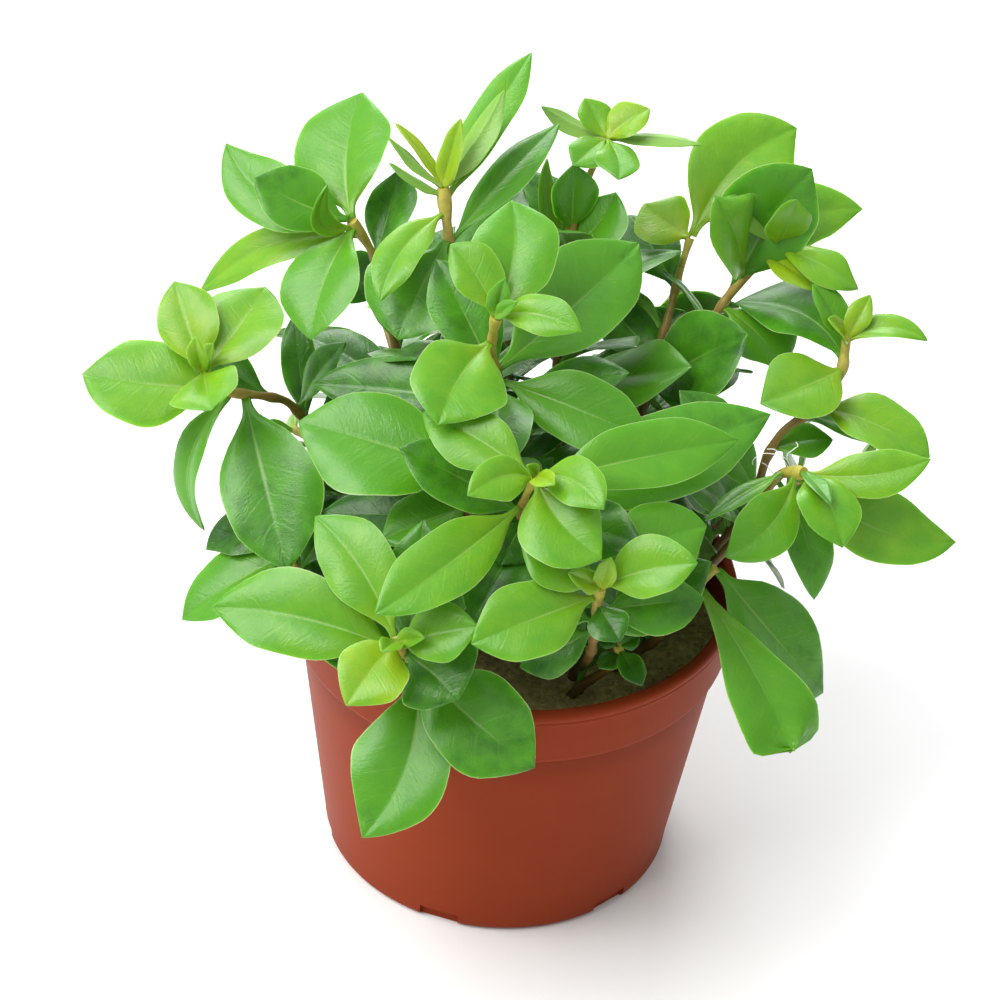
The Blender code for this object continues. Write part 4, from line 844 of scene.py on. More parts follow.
def first_with_room(shoot, path, share, sign, first_turn, shapes, stems, box):
    """The longest leaf on this side of a stem for which there is room, or None."""
    tree = joined_tree(shapes)
    along = heading_on(path, share)
    age = OLD_AGE[0] + OLD_AGE[1] * share
    for length in INNER_LENGTHS:
        for turn in INNER_TURNS:
            out = spoke(along, INNER_REFERENCE, first_turn + turn)
            heading = unit(sign * out + INNER_RISE * along)
            base = point_on(path, share) + heading * INNER_START
            leaf = Leaf("", shoot, share, base, base + heading * length, INNER_WIDTH * length, along, 0,
                        OLD_ARCH, "broad", age)
            if has_room(leaf.samples(), tree, stems, box):
                return leaf
    return None


# Node trees

class Wire:
    """A number or a vector in a node tree. OPERATIONS lists what else can be done with it."""

    def __init__(self, socket, is_vector=False):
        self.socket = socket
        self.tree = socket.id_data
        self.is_vector = is_vector

    def do(self, operation, *others):
        vector = self.is_vector or any(isinstance(o, Wire) and o.is_vector for o in others)
        node = self.tree.nodes.new("ShaderNodeVectorMath" if vector else "ShaderNodeMath")
        node.operation = operation
        for socket, value in zip(node.inputs, (self, *others)):
            plug(socket, value)
        if operation in ("DOT_PRODUCT", "LENGTH"):
            return Wire(node.outputs["Value"])
        return Wire(node.outputs[0], vector)

    def __rsub__(self, other):
        return self * -1.0 + other

    def bell(self, width):
        """1 at zero, falling to nothing on both sides over about this width."""
        scaled = self / width
        return (scaled * scaled * -1.0).do("EXPONENT")

    def rise(self, low, high, start=0.0, end=1.0):
        """Smooth step from start to end as the number goes from low to high."""
        inputs = {0: self, 1: low, 2: high, 3: start, 4: end}
        return Wire(result(self.tree, "ShaderNodeMapRange", inputs, interpolation_type="SMOOTHSTEP"))


OPERATIONS = {
    "__add__": "ADD", "__radd__": "ADD", "__sub__": "SUBTRACT", "__mul__": "MULTIPLY",
    "__rmul__": "MULTIPLY", "__truediv__": "DIVIDE", "dot": "DOT_PRODUCT", "cross": "CROSS_PRODUCT",
    "unit": "NORMALIZE", "length": "LENGTH", "abs": "ABSOLUTE", "sign": "SIGN", "power": "POWER",
    "root": "SQRT", "sin": "SINE", "least": "MINIMUM", "most": "MAXIMUM", "above": "GREATER_THAN"}
for word, operation in OPERATIONS.items():
    setattr(Wire, word, partialmethod(Wire.do, operation))


def plug(socket, value):
    """Links or sets one input of a node."""
    if isinstance(value, Wire):
        value = value.socket
    if isinstance(value, bpy.types.NodeSocket):
        socket.id_data.links.new(value, socket)
    elif socket.type == "VECTOR" and isinstance(value, (int, float)):
        socket.default_value = (value, value, value)
    else:
        socket.default_value = value


def add_node(tree, kind, inputs=None, **settings):
    node = tree.nodes.new(kind)
    for name, value in settings.items():
        setattr(node, name, value)
    for name, value in (inputs or {}).items():
        plug(node.inputs[name], value)
    return node


def result(tree, kind, inputs=None, **settings):
    """The first output of a new node."""
    return add_node(tree, kind, inputs, **settings).outputs[0]


def combine_xyz(tree, x, y, z):
    return Wire(result(tree, "ShaderNodeCombineXYZ", {0: x, 1: y, 2: z}), True)


def numbers_of(tree, vector):
    """The three numbers of a vector."""
    return [Wire(output) for output in add_node(tree, "ShaderNodeSeparateXYZ", {0: vector}).outputs]


def shape_curve(tree, value, at_points, heights):
    """A smooth curve through a few points, with straight pieces at its far end, read at value."""
    node = add_node(tree, "ShaderNodeFloatCurve", {"Value": value})
    curve = node.mapping.curves[0]
    while len(curve.points) < len(at_points):
        curve.points.new(0.5, 0.5)
    for point, x, y in zip(curve.points, at_points, heights):
        point.location = (x, y)
        point.handle_type = "VECTOR" if x > TIP_STRAIGHT_FROM else "AUTO_CLAMPED"
    node.mapping.update()
    return Wire(node.outputs[0])


# Geometry trees

def new_tree(name, inputs):
    """Geometry tree with a geometry and a material input and more inputs, as name -> value."""
    tree = bpy.data.node_groups.new(name, "GeometryNodeTree")
    sockets = tree.interface
    sockets.new_socket("Geometry", in_out="INPUT", socket_type="NodeSocketGeometry")
    for label, value in inputs.items():
        kind = "NodeSocketInt" if isinstance(value, int) else "NodeSocketFloat"
        sockets.new_socket(label, in_out="INPUT", socket_type=kind).default_value = value
    sockets.new_socket("Material", in_out="INPUT", socket_type="NodeSocketMaterial")
    sockets.new_socket("Geometry", in_out="OUTPUT", socket_type="NodeSocketGeometry")
    return tree, {socket.name: Wire(socket) for socket in tree.nodes.new("NodeGroupInput").outputs}


def end_tree(tree, source, geometry):
    """Realises the instances, sets the material and ends the tree."""
    real = result(tree, "GeometryNodeRealizeInstances", {"Geometry": geometry})
    painted = result(tree, "GeometryNodeSetMaterial", {"Geometry": real, "Material": source["Material"]})
    tree.links.new(painted, tree.nodes.new("NodeGroupOutput").inputs[0])


def field_kind(vector):
    return "FLOAT_VECTOR" if vector else "FLOAT"


def read_field(tree, name, vector=False):
    node = add_node(tree, "GeometryNodeInputNamedAttribute", {"Name": name}, data_type=field_kind(vector))
    return Wire(node.outputs["Attribute"], vector)


def store_field(tree, geometry, name, value, vector=False):
    inputs = {"Geometry": geometry, "Name": name, "Value": value}
    return result(tree, "GeometryNodeStoreNamedAttribute", inputs, data_type=field_kind(vector))


def own_place(tree):
    return Wire(result(tree, "GeometryNodeInputPosition"), True)


def set_place(tree, geometry, place):
    return result(tree, "GeometryNodeSetPosition", {"Geometry": geometry, "Position": place})


def join_geometry(tree, parts):
    joined = tree.nodes.new("GeometryNodeJoinGeometry")
    for part in parts:
        tree.links.new(part, joined.inputs[0])
    return joined.outputs[0]


def link_object(name, data):
    made = bpy.data.objects.new(name, data)
    bpy.context.scene.collection.objects.link(made)
    return made


def evaluated_mesh(source):
    graph = bpy.context.evaluated_depsgraph_get()
    return bpy.data.meshes.new_from_object(source.evaluated_get(graph))


def run_tree(name, guide, tree, values):
    """A plain mesh object from a guide mesh and a geometry tree."""
    source = link_object(name + "_guide", guide)
    modifier = source.modifiers.new("made", "NODES")
    modifier.node_group = tree
    for item in tree.interface.items_tree:
        if item.in_out == "INPUT" and item.name in values:
            modifier[item.identifier] = values[item.name]
    mesh = evaluated_mesh(source)
    mesh.name = name
    source.modifiers.remove(modifier)
    bpy.data.objects.remove(source, do_unlink=True)
    return link_object(name, mesh)


def guide_mesh(name, points, edges, fields):
    """Loose points or lines in millimetres, with named numbers and vectors on their points."""
    mesh = bpy.data.meshes.new(name)
    mesh.from_pydata([tuple(point) for point in np.array(points) * MM], edges, [])
    for label, values in fields.items():
        values = np.array(values, np.float32)
        vector = values.ndim == 2
        field = mesh.attributes.new(label, field_kind(vector), "POINT")
        field.data.foreach_set("vector" if vector else "value", values.ravel())
    return mesh


# Leaf blades

def blade_tree():
    """Tree that grows one closed, folded and veined blade on each guide point."""
    tree, source = new_tree("leaf blades", {
        "Stations": PLAIN_GRID[0], "Columns": PLAIN_GRID[1], "Thickness": BLADE_THICK,
        "Midrib groove": 0.09, "Midrib ridge": 0.22, "Half bulge": 0.08, "Edge wave": 0.08,
        "Quilting": 0.035, "Vein pairs": VEIN_PAIRS})
    plate = blade_plate(tree, source)
    points = result(tree, "GeometryNodeMeshToPoints", {"Mesh": source["Geometry"]})
    grown = result(tree, "GeometryNodeInstanceOnPoints", {"Points": points, "Instance": plate})
    real = result(tree, "GeometryNodeRealizeInstances", {"Geometry": grown})
    place, flat = blade_places(tree, source)
    real = store_field(tree, real, "flat", flat, vector=True)
    end_tree(tree, source, set_place(tree, real, place * MM))
    return tree


def blade_plate(tree, source):
    """Flat closed plate: along it from 0 to 1, across it from -1 to 1, with an upper and an under side."""
    grid = result(tree, "GeometryNodeMeshGrid", {
        "Size X": 1.0, "Size Y": 2.0, "Vertices X": source["Stations"], "Vertices Y": source["Columns"]})
    x, y, _ = numbers_of(tree, own_place(tree))
    even = x + 0.5
    along = even - (even * (2 * math.pi)).sin() * END_CROWDING
    across = y.abs().power(RIB_CROWDING) * y.sign()
    inside = (even * (1.0 - even)).above(GRID_EDGE) * (1.0 - y.abs()).above(GRID_EDGE)
    sides = []
    for layer in (1.0, -1.0):
        side = grid
        for name, value in (("along", along), ("across", across), ("layer", inside * layer)):
            side = store_field(tree, side, name, value)
        side = set_place(tree, side, combine_xyz(tree, x, y, inside * (PLATE_LIFT * layer)))
        if layer < 0:
            side = result(tree, "GeometryNodeFlipFaces", {"Mesh": side})
        sides.append(side)
    joined = join_geometry(tree, reversed(sides))
    return result(tree, "GeometryNodeMergeByDistance", {"Geometry": joined, "Distance": PLATE_MERGE})


def read_blade(tree):
    """What is known at a point of a blade, by name."""
    fields = {name: read_field(tree, name) for name in NUMBER_FIELDS}
    fields.update({name: read_field(tree, name, True) for name in VECTOR_FIELDS})
    return SimpleNamespace(**fields)


def wave_over(blade, turns):
    """A sine over the blade, with so many turns along it, by its seed and across it."""
    return (blade.along * turns[0] + blade.seed * turns[1] + blade.across * turns[2]).sin()


def blade_half(tree, blade):
    """Half-width at a point: the outline of the form, a little uneven, and no less than the stalk."""
    outlines = [shape_curve(tree, blade.along, OUTLINE_AT, OUTLINE[form][:-1] + (0.0,)) for form in FORMS]
    share = outlines[0]
    for number, (this, following) in enumerate(zip(outlines, outlines[1:])):
        share = share + (following - this) * (blade.form - float(number)).most(0.0).least(1.0)
    uneven = blade.across.sign() * (blade.seed * SIDE_TURNS).sin() * SIDE_UNEVEN
    uneven = uneven + wave_over(blade, EDGE_TURNS) * EDGE_UNEVEN
    stalk = blade.along.rise(0.0, STALK_SHARE, STALK_HALF, 0.0)
    return (blade.half_width * share * (uneven + 1.0)).most(stalk).most(LEAST_BLADE_HALF)


def blade_lift(source, blade, half, worn):
    """Height off the middle line along the normal: fold, bulge, wave, quilting, thickness and rib."""
    along = blade.along
    off_rib = blade.across.abs()
    arched = (off_rib * math.pi).sin()
    opening = (along * FOLD_OPENING).least(1.0) * (1.0 - along * FOLD_CLOSING)
    lift = blade.fold * half * opening * ((off_rib * off_rib + FOLD_SOFTNESS).root() - FOLD_DROP)
    lift = lift + half * arched * source["Half bulge"] * opening
    lift = lift + wave_over(blade, WAVE_TURNS) * off_rib * off_rib * source["Edge wave"] * half
    veins = ((along - off_rib * VEIN_SLANT) * source["Vein pairs"] * (2 * math.pi)).sin()
    lift = lift + veins * arched * source["Quilting"] * (blade.half_width / QUILTED_HALF)
    bulk = MARGIN_THICK + (1.0 - MARGIN_THICK) * (1.0 - off_rib.power(3.0))
    thick = source["Thickness"] * bulk + along.rise(0.0, STALK_THICK_SHARE, STALK_THICK, 0.0)
    lift = lift + thick * blade.layer * 0.5
    rib = blade.across.bell(RIB_WIDTH) * (1.0 - along * RIB_TAPER)
    lift = lift - rib * blade.layer.most(0.0) * source["Midrib groove"] * along.rise(*GROOVE_FROM)
    lift = lift - rib * (blade.layer * -1.0).most(0.0) * source["Midrib ridge"]
    turns, curl, fall = WORN_CURL
    return lift + worn * ((blade.across * turns).sin() * curl - off_rib * fall)


def blade_places(tree, source):
    """Where each point of a blade goes, in millimetres, and its place on the flat blade."""
    blade = read_blade(tree)
    along = blade.along
    rest = 1.0 - along
    centre = blade.base * (rest * rest) + blade.middle * (along * rest * 2.0) + blade.tip * (along * along)
    heading = ((blade.middle - blade.base) * rest + (blade.tip - blade.middle) * along).unit()
    normal = (blade.facing - heading * blade.facing.dot(heading)).unit()
    half = blade_half(tree, blade)
    worn = (blade.form - float(FORMS.index("worn") - 1)).most(0.0) * along.rise(WORN_FROM, 1.0)
    coarse, fine = [(blade.across * turns + start).sin() * depth for turns, start, depth in FRAYING]
    lift = blade_lift(source, blade, half, worn)
    place = centre + normal.cross(heading) * (half * blade.across) + normal * lift
    length = (blade.tip - blade.base).length()
    flat = combine_xyz(tree, along * length, blade.across * half, blade.seed * SEED_SPREAD)
    return place + heading * (worn * (coarse + fine)), flat


def stalk_foot(leaf):
    """Where the drawn stalk starts: a leaf with its own node is drawn right up to its stem."""
    if leaf.name:
        return leaf.base - unit(leaf.tip - leaf.base) * (GAP + FOOT_REACH)
    return leaf.base


def leaf_fields(leaves):
    """The values that blades are grown from, by name, one per leaf."""
    rows = [{"base": stalk_foot(leaf), "middle": leaf.middle, "tip": leaf.tip, "facing": leaf.normal,
             "half_width": 0.5 * leaf.width, "fold": FOLD[leaf.form], "form": FORMS.index(leaf.form),
             "age": leaf.age, "seed": leaf.seed} for leaf in leaves]
    return {name: [row[name] for row in rows] for name in rows[0]}


def grow_blades(name, leaves, tree, grid, material):
    fields = leaf_fields(leaves)
    guide = guide_mesh(name, fields["base"], [], fields)
    made = run_tree(name, guide, tree, {"Stations": grid[0], "Columns": grid[1], "Material": material})
    smooth_skin(made, BLADE_SHARP)
    return made


def smooth_skin(made, sharp):
    """Smooth shading, with edges sharper than this angle in degrees left sharp."""
    made.data.shade_smooth()
    made.data.set_sharp_from_angle(angle=math.radians(sharp))


# Stems

def stem_tree():
    """Tree that turns a line into a round stem, thicker at the nodes where leaves stand."""
    tree, source = new_tree("stems", {"Rings": STEM_RINGS, "Sides": STEM_SIDES})
    line = result(tree, "GeometryNodeMeshToCurve", {"Mesh": source["Geometry"]})
    line = result(tree, "GeometryNodeResampleCurve", {"Curve": line, "Count": source["Rings"]})
    thick = read_field(tree, "thick") * MM
    line = result(tree, "GeometryNodeSetCurveRadius", {"Curve": line, "Radius": thick})
    ring = result(tree, "GeometryNodeCurvePrimitiveCircle", {"Resolution": source["Sides"], "Radius": 1.0})
    tube = result(tree, "GeometryNodeCurveToMesh", {
        "Curve": line, "Profile Curve": ring, "Scale": thick, "Fill Caps": True})
    end_tree(tree, source, tube)
    return tree


def line_edges(first, count):
    return [(k, k + 1) for k in range(first, first + count - 1)]


def stem_guide(name, path, leaves):
    """Line of a stem with its thickness and its place up the stem at each point."""
    shares = np.linspace(0, 1, len(path))
    thick = np.array([stem_radius(share) for share in shares]) * STEM_SLIM
    for share in sorted({round(leaf.share, 2) for leaf in leaves}):
        thick += SWELLING * np.exp(-((shares - share) / SWELLING_SHARE) ** 2)
    for _ in range(SMOOTHING_ROUNDS):
        path = np.vstack([path[:1], (path[:-2] + 2 * path[1:-1] + path[2:]) / 4, path[-1:]])
    return guide_mesh(name, path, line_edges(0, len(path)), {"thick": thick, "up_stem": shares})


def make_fibres(tree, material):
    """Fine curled fibres, each a thin closed tube."""
    points = []
    edges = []
    for line in FIBRES:
        edges += line_edges(len(points), FIBRE_POINTS)
        points += list(smooth_path([at(*point) for point in line], FIBRE_POINTS))
    guide = guide_mesh("fibres", points, edges, {"thick": [FIBRE_RADIUS] * len(points)})
    values = {"Rings": FIBRE_POINTS, "Sides": FIBRE_SIDES, "Material": material}
    return run_tree("caught_fibres", guide, tree, values)


# Materials

def new_material(name):
    material = bpy.data.materials.new(name)
    material.use_nodes = True
    tree = material.node_tree
    return material, tree, tree.nodes["Principled BSDF"]


SHADER_INPUTS = {"colour": "Base Color", "roughness": "Roughness", "specular": "Specular IOR Level",
                 "normal": "Normal", "scatter": "Subsurface Weight", "scatter_colour": "Subsurface Radius",
                 "scatter_reach": "Subsurface Scale"}


def finish(shader, **values):
    """Sets or links the shader's inputs, by their short names."""
    for name, value in values.items():
        plug(shader.inputs[SHADER_INPUTS[name]], value)


def bump(tree, height, distance, strength):
    """Normal of a surface with fine relief; the distance is in millimetres."""
    return result(tree, "ShaderNodeBump", {"Height": height, "Distance": distance * MM, "Strength": strength})


def attribute(tree, name, vector=False):
    node = add_node(tree, "ShaderNodeAttribute", attribute_name=name)
    return Wire(node.outputs["Vector" if vector else "Fac"], vector)


def noise(tree, place, scale, detail=2.0, roughness=0.5):
    return Wire(result(tree, "ShaderNodeTexNoise", {
        "Vector": place, "Scale": scale, "Detail": detail, "Roughness": roughness}))


def blend(tree, share, first, second):
    """Colour between two colours."""
    node = add_node(tree, "ShaderNodeMix", {0: share}, data_type="RGBA")
    for socket, value in ((node.inputs[6], first), (node.inputs[7], second)):
        plug(socket, value if isinstance(value, bpy.types.NodeSocket) else (*value, 1.0))
    return node.outputs[2]


def colour_ramp(tree, value, stops):
    node = add_node(tree, "ShaderNodeValToRGB", {"Fac": value})
    ramp = node.color_ramp
    while len(ramp.elements) < len(stops):
        ramp.elements.new(0.5)
    for element, (place, colour) in zip(ramp.elements, stops):
        element.position = place
        element.color = (*colour, 1.0)
    return node.outputs[0]


def object_place(tree):
    return Wire(tree.nodes.new("ShaderNodeTexCoord").outputs["Object"], True)


def leaf_material():
    """Waxy leaf blade: pale midrib and margin, faint side veins, yellower towards its base."""
    material, tree, shader = new_material("leaf blade")
    names = ("along", "across", "age", "layer")
    leaf = SimpleNamespace(**{name: attribute(tree, name) for name in names})
    leaf.off_rib = leaf.across.abs()
    leaf.flat = attribute(tree, "flat", True)
    leaf.mottle = noise(tree, leaf.flat, *MOTTLING[:2])
    leaf.grain = noise(tree, leaf.flat, *GRAIN[:2])
    veins = ((leaf.along - leaf.off_rib * VEIN_SLANT) * (VEIN_PAIRS * 2 * math.pi)).sin()
    leaf.veins = veins.rise(0.86, 1.0) * leaf.off_rib.rise(0.9, 0.5)
    roughness = LEAF_ROUGHNESS + leaf.grain * 0.10 + leaf.mottle * 0.12 + leaf.age.rise(0.0, 1.0, 0.05, 0.0)
    finish(shader, colour=leaf_colour(tree, leaf), roughness=roughness, specular=0.38,
           normal=bump(tree, leaf_relief(tree, leaf), 0.35, 0.55),
           scatter=0.35, scatter_colour=(0.5, 1.0, 0.15), scatter_reach=0.6 * MM)
    return material


def leaf_colour(tree, leaf):
    """Colour by age, mottled, with the blade's base, veins, midrib, under side and margin on it."""
    tone = leaf.age + (leaf.mottle - 0.5) * MOTTLING[2] + (leaf.grain - 0.5) * GRAIN[2]
    tone = tone + (leaf.along - 0.45) * TIP_DARKER
    heart = leaf.along.rise(0.42, 0.05) * leaf.age.rise(0.75, 0.1)
    rib_width = leaf.along.rise(0.0, 0.9, 0.050, 0.012)
    rib = (leaf.off_rib / rib_width).rise(1.3, 0.3) * leaf.along.rise(0.90, 0.30)
    margin = leaf.off_rib.rise(0.972, 0.996) * leaf.along.rise(0.05, 0.3)
    colour = colour_ramp(tree, tone, LEAF_STOPS)
    for share, strength, tint in ((heart, 0.40, HEART_COLOUR), (leaf.veins, 0.030, RIB_COLOUR),
                                  (rib, 0.46, RIB_COLOUR), (leaf.layer.rise(0.0, -0.5), 0.55, UNDER_COLOUR),
                                  (margin, 0.60, RIM_COLOUR)):
        colour = blend(tree, share * strength, colour, tint)
    return colour


def leaf_relief(tree, leaf):
    """Sunken side veins, and wrinkles that lean along them."""
    length, width, seed = numbers_of(tree, leaf.flat)
    from_rib = width.abs()
    lengthwise, crosswise = CREASE_SCALES
    creases = combine_xyz(tree, (length - from_rib * 0.5) * lengthwise, from_rib * crosswise, seed)
    relief = leaf.veins * -VEIN_SUNK + noise(tree, creases, 1.0, 2.0, 0.6) * CREASE_HEIGHT
    return relief + leaf.grain * GRAIN_HEIGHT + noise(tree, leaf.flat, PORE_SCALE) * PORE_HEIGHT


def stem_material():
    """Juicy stem: yellow-green at the top, yellow-brown to red-brown below."""
    material, tree, shader = new_material("stem")
    streak = noise(tree, object_place(tree), 900.0)
    tone = attribute(tree, "up_stem") + (streak - 0.5) * 0.35
    finish(shader, colour=colour_ramp(tree, tone, STEM_STOPS), roughness=0.40 + streak * 0.15,
           normal=bump(tree, streak, 0.1, 0.5),
           scatter=0.2, scatter_colour=(1.0, 0.7, 0.2), scatter_reach=0.8 * MM)
    return material


def fibre_material():
    """Dull white fibre, a little uneven."""
    material, tree, shader = new_material("white fibre")
    cloud = noise(tree, object_place(tree), 800.0)
    finish(shader, colour=blend(tree, cloud, *FIBRE_COLOURS), roughness=0.6)
    return material


def pot_material():
    """Satin moulded plastic, with faint flow marks round it and painted shade under its collar."""
    material, tree, shader = new_material("pot plastic")
    place = object_place(tree)
    x, y, z = numbers_of(tree, place)
    round_scale, height_scale = FLOW_SCALES
    flow = noise(tree, combine_xyz(tree, x * round_scale, y * round_scale, z * height_scale), 1.0)
    cloud = noise(tree, place, 60.0, 3.0)
    grain = noise(tree, place, 2600.0)
    colour = blend(tree, cloud * 0.5 + flow * 0.3 + grain * 0.1, *POT_COLOURS)
    # Painted shade: a darker band just under the collar, where the collar's shadow falls
    painted_collar_shade = z.rise((COLLAR - 6.0) * MM, (COLLAR - 1.0) * MM) * z.rise(COLLAR * MM, (COLLAR - 0.5) * MM)
    finish(shader, colour=blend(tree, painted_collar_shade * 0.35, colour, COLLAR_SHADE_COLOUR),
           roughness=0.40 + grain * 0.08 + cloud * 0.08, specular=0.07,
           normal=bump(tree, flow * 0.5 + grain * 0.5, 0.04, 0.4))
    return material


def soil_material():
    """Fine moist soil, with painted shade in the hollows of its relief."""
    material, tree, shader = new_material("soil")
    place = object_place(tree)
    lumps = noise(tree, place, 220.0, 4.0, 0.6)
    grains = noise(tree, place, 1500.0, 3.0, 0.6)
    # Painted shade: the colour follows the bump's noises, so the hollows come out darker
    finish(shader, colour=colour_ramp(tree, lumps * 0.7 + grains * 0.5 - 0.1, SOIL_STOPS),
           roughness=0.78 + grains * 0.2, normal=bump(tree, grains + lumps, 0.4, 0.7))
    return material


# Pot

def circle(radius, sides):
    """Points of a circle round the Z axis."""
    angles = [2 * math.pi * k / sides for k in range(sides)]
    return [(radius * math.cos(angle), radius * math.sin(angle)) for angle in angles]


def lathe(profile, sides):
    """Solid turned round the Z axis from (radius, height) points that start and end on the axis."""
    points = []
    rings = []
    for radius, height in profile:
        ring = circle(radius, sides) if radius > 0 else [(0.0, 0.0)]
        rings.append(range(len(points), len(points) + len(ring)))
        points += [(x, y, height) for x, y in ring]
    faces = []
    for lower, upper in zip(rings, rings[1:]):
        for k in range(sides):
            corners = [lower[k % len(lower)], lower[(k + 1) % len(lower)],
                       upper[(k + 1) % len(upper)], upper[k % len(upper)]]
            faces.append(list(dict.fromkeys(corners)))
    return points, faces


def arc(centre, radius, start, end, steps):
    """Points on an arc in the profile's plane; angles in degrees."""
    return [(centre[0] + radius * math.cos(math.radians(a)), centre[1] + radius * math.sin(math.radians(a)))
            for a in np.linspace(start, end, steps)]


def pot_profile():
    """From the middle of the base, up the outside, over the lip and down the inside."""
    body_top = RIM_RADIUS - COLLAR_OUT
    inside_top = RIM_RADIUS - WALL - 0.3
    foot = BASE_RADIUS - FOOT_EDGE
    profile = [(0, 0), (BASE_RING, 0), (foot, 0)]
    profile += arc((foot, FOOT_ROUND), FOOT_ROUND, -90, -8, 6)
    profile += [(BASE_RADIUS + share * (body_top - BASE_RADIUS), 2.4 + share * (COLLAR - 3.0))
                for share in np.linspace(0.0, 1.0, BODY_ROWS)]
    profile += [(body_top + out, COLLAR + up) for out, up in COLLAR_EDGE]
    profile += [(RIM_RADIUS - inward, POT_HEIGHT - down) for inward, down in LIP_STEP]
    profile += arc((RIM_RADIUS - LIP_ROUND, POT_HEIGHT - 0.85), LIP_ROUND, -40, 90, 9)
    profile += arc((inside_top + LIP_INNER, POT_HEIGHT - LIP_INNER), LIP_INNER, 90, 180, 5)
    profile += [(inside_top - 0.1, POT_HEIGHT - 2.0), (inside_top - 0.6, COLLAR), (BASE_RADIUS - WALL, FLOOR),
                (0, FLOOR)]
    return profile


def plain_object(name, points, faces, material):
    """Mesh object from points in millimetres, with its faces turned outwards."""
    mesh = bpy.data.meshes.new(name)
    mesh.from_pydata([tuple(np.asarray(point) * MM) for point in points], [], faces)
    bm = bmesh.new()
    bm.from_mesh(mesh)
    bmesh.ops.recalc_face_normals(bm, faces=bm.faces)
    bm.to_mesh(mesh)
    bm.free()
    mesh.materials.append(material)
    return link_object(name, mesh)


def notch_box(turn):
    """Corners of the block that cuts one drainage notch."""
    long, wide, high = NOTCH_SIZE
    out = np.array([math.cos(turn), math.sin(turn), 0.0])
    side = np.array([-out[1], out[0], 0.0])
    centre = out * (BASE_RADIUS + NOTCH_OUT)
    return [centre + out * a * 0.5 * wide + side * b * 0.5 * long + np.array([0, 0, height])
            for height in (-1.0, high) for a, b in ((-1, -1), (1, -1), (1, 1), (-1, 1))]


def make_pot(material):
    pot = plain_object("moulded_pot", *lathe(pot_profile(), POT_SIDES), material)
    points = []
    faces = []
    for k in range(NOTCH_COUNT):
        faces += [[len(points) + i for i in face] for face in BOX_FACES]
        points += notch_box(math.radians(NOTCH_TURN + 360.0 * k / NOTCH_COUNT))
    cutter = plain_object("notches", points, faces, material)
    modifier = pot.modifiers.new("notches", "BOOLEAN")
    modifier.operation = "DIFFERENCE"
    modifier.object = cutter
    pot.data = evaluated_mesh(pot)
    pot.modifiers.clear()
    bpy.data.objects.remove(cutter, do_unlink=True)
    smooth_skin(pot, POT_SHARP)
    return pot


# Soil

def soil_height(x, y):
    """Uneven top of the soil."""
    return (SOIL_TOP + 0.35 * math.sin(0.55 * x + 0.8) * math.cos(0.47 * y)
            + 0.22 * math.sin(1.1 * y - 0.6 * x))


def inside_radius(height):
    """Inner radius of the pot at a height."""
    low = BASE_RADIUS - WALL
    top = RIM_RADIUS - WALL - 0.9
    if height <= COLLAR:
        return low + (top - low) * (height - FLOOR) / (COLLAR - FLOOR)
    return top + 0.6 * (height - COLLAR) / (POT_HEIGHT - 0.5 - COLLAR)


def make_soil(tree, material):
    """Soil plug with a fine uneven top, roughened and strewn with crumbs by the soil tree."""
    top = inside_radius(SOIL_TOP - 1) - SOIL_PLAY
    points = [(0.0, 0.0, soil_height(0, 0))]
    for ring in range(1, SOIL_RINGS + 1):
        points += [(x, y, soil_height(x, y)) for x, y in circle(top * ring / SOIL_RINGS, SOIL_SIDES)]
    low = FLOOR + GAP
    for height in (COLLAR - 2.5, low):
        points += [(x, y, height) for x, y in circle(inside_radius(height) - SOIL_PLAY, SOIL_SIDES)]
    points.append((0.0, 0.0, low))
    sides = [(k, (k + 1) % SOIL_SIDES) for k in range(SOIL_SIDES)]
    faces = [(0, 1 + a, 1 + b) for a, b in sides]
    for first in range(1, 1 + (SOIL_RINGS + 1) * SOIL_SIDES, SOIL_SIDES):
        after = first + SOIL_SIDES
        faces += [(first + a, after + a, after + b, first + b) for a, b in sides]
    last = len(points) - 1
    faces += [(last - SOIL_SIDES + a, last, last - SOIL_SIDES + b) for a, b in sides]
    body = plain_object("soil_body", points, faces, material)
    guide = body.data
    bpy.data.objects.remove(body, do_unlink=True)
    soil = run_tree("planting_soil", guide, tree, {"Material": material})
    soil.data.shade_smooth()
    return soil


def random_value(tree, source, kind, low, high):
    inputs = {"Min": low, "Max": high, "Seed": source["Seed"]}
    return add_node(tree, "FunctionNodeRandomValue", inputs, data_type=kind).outputs


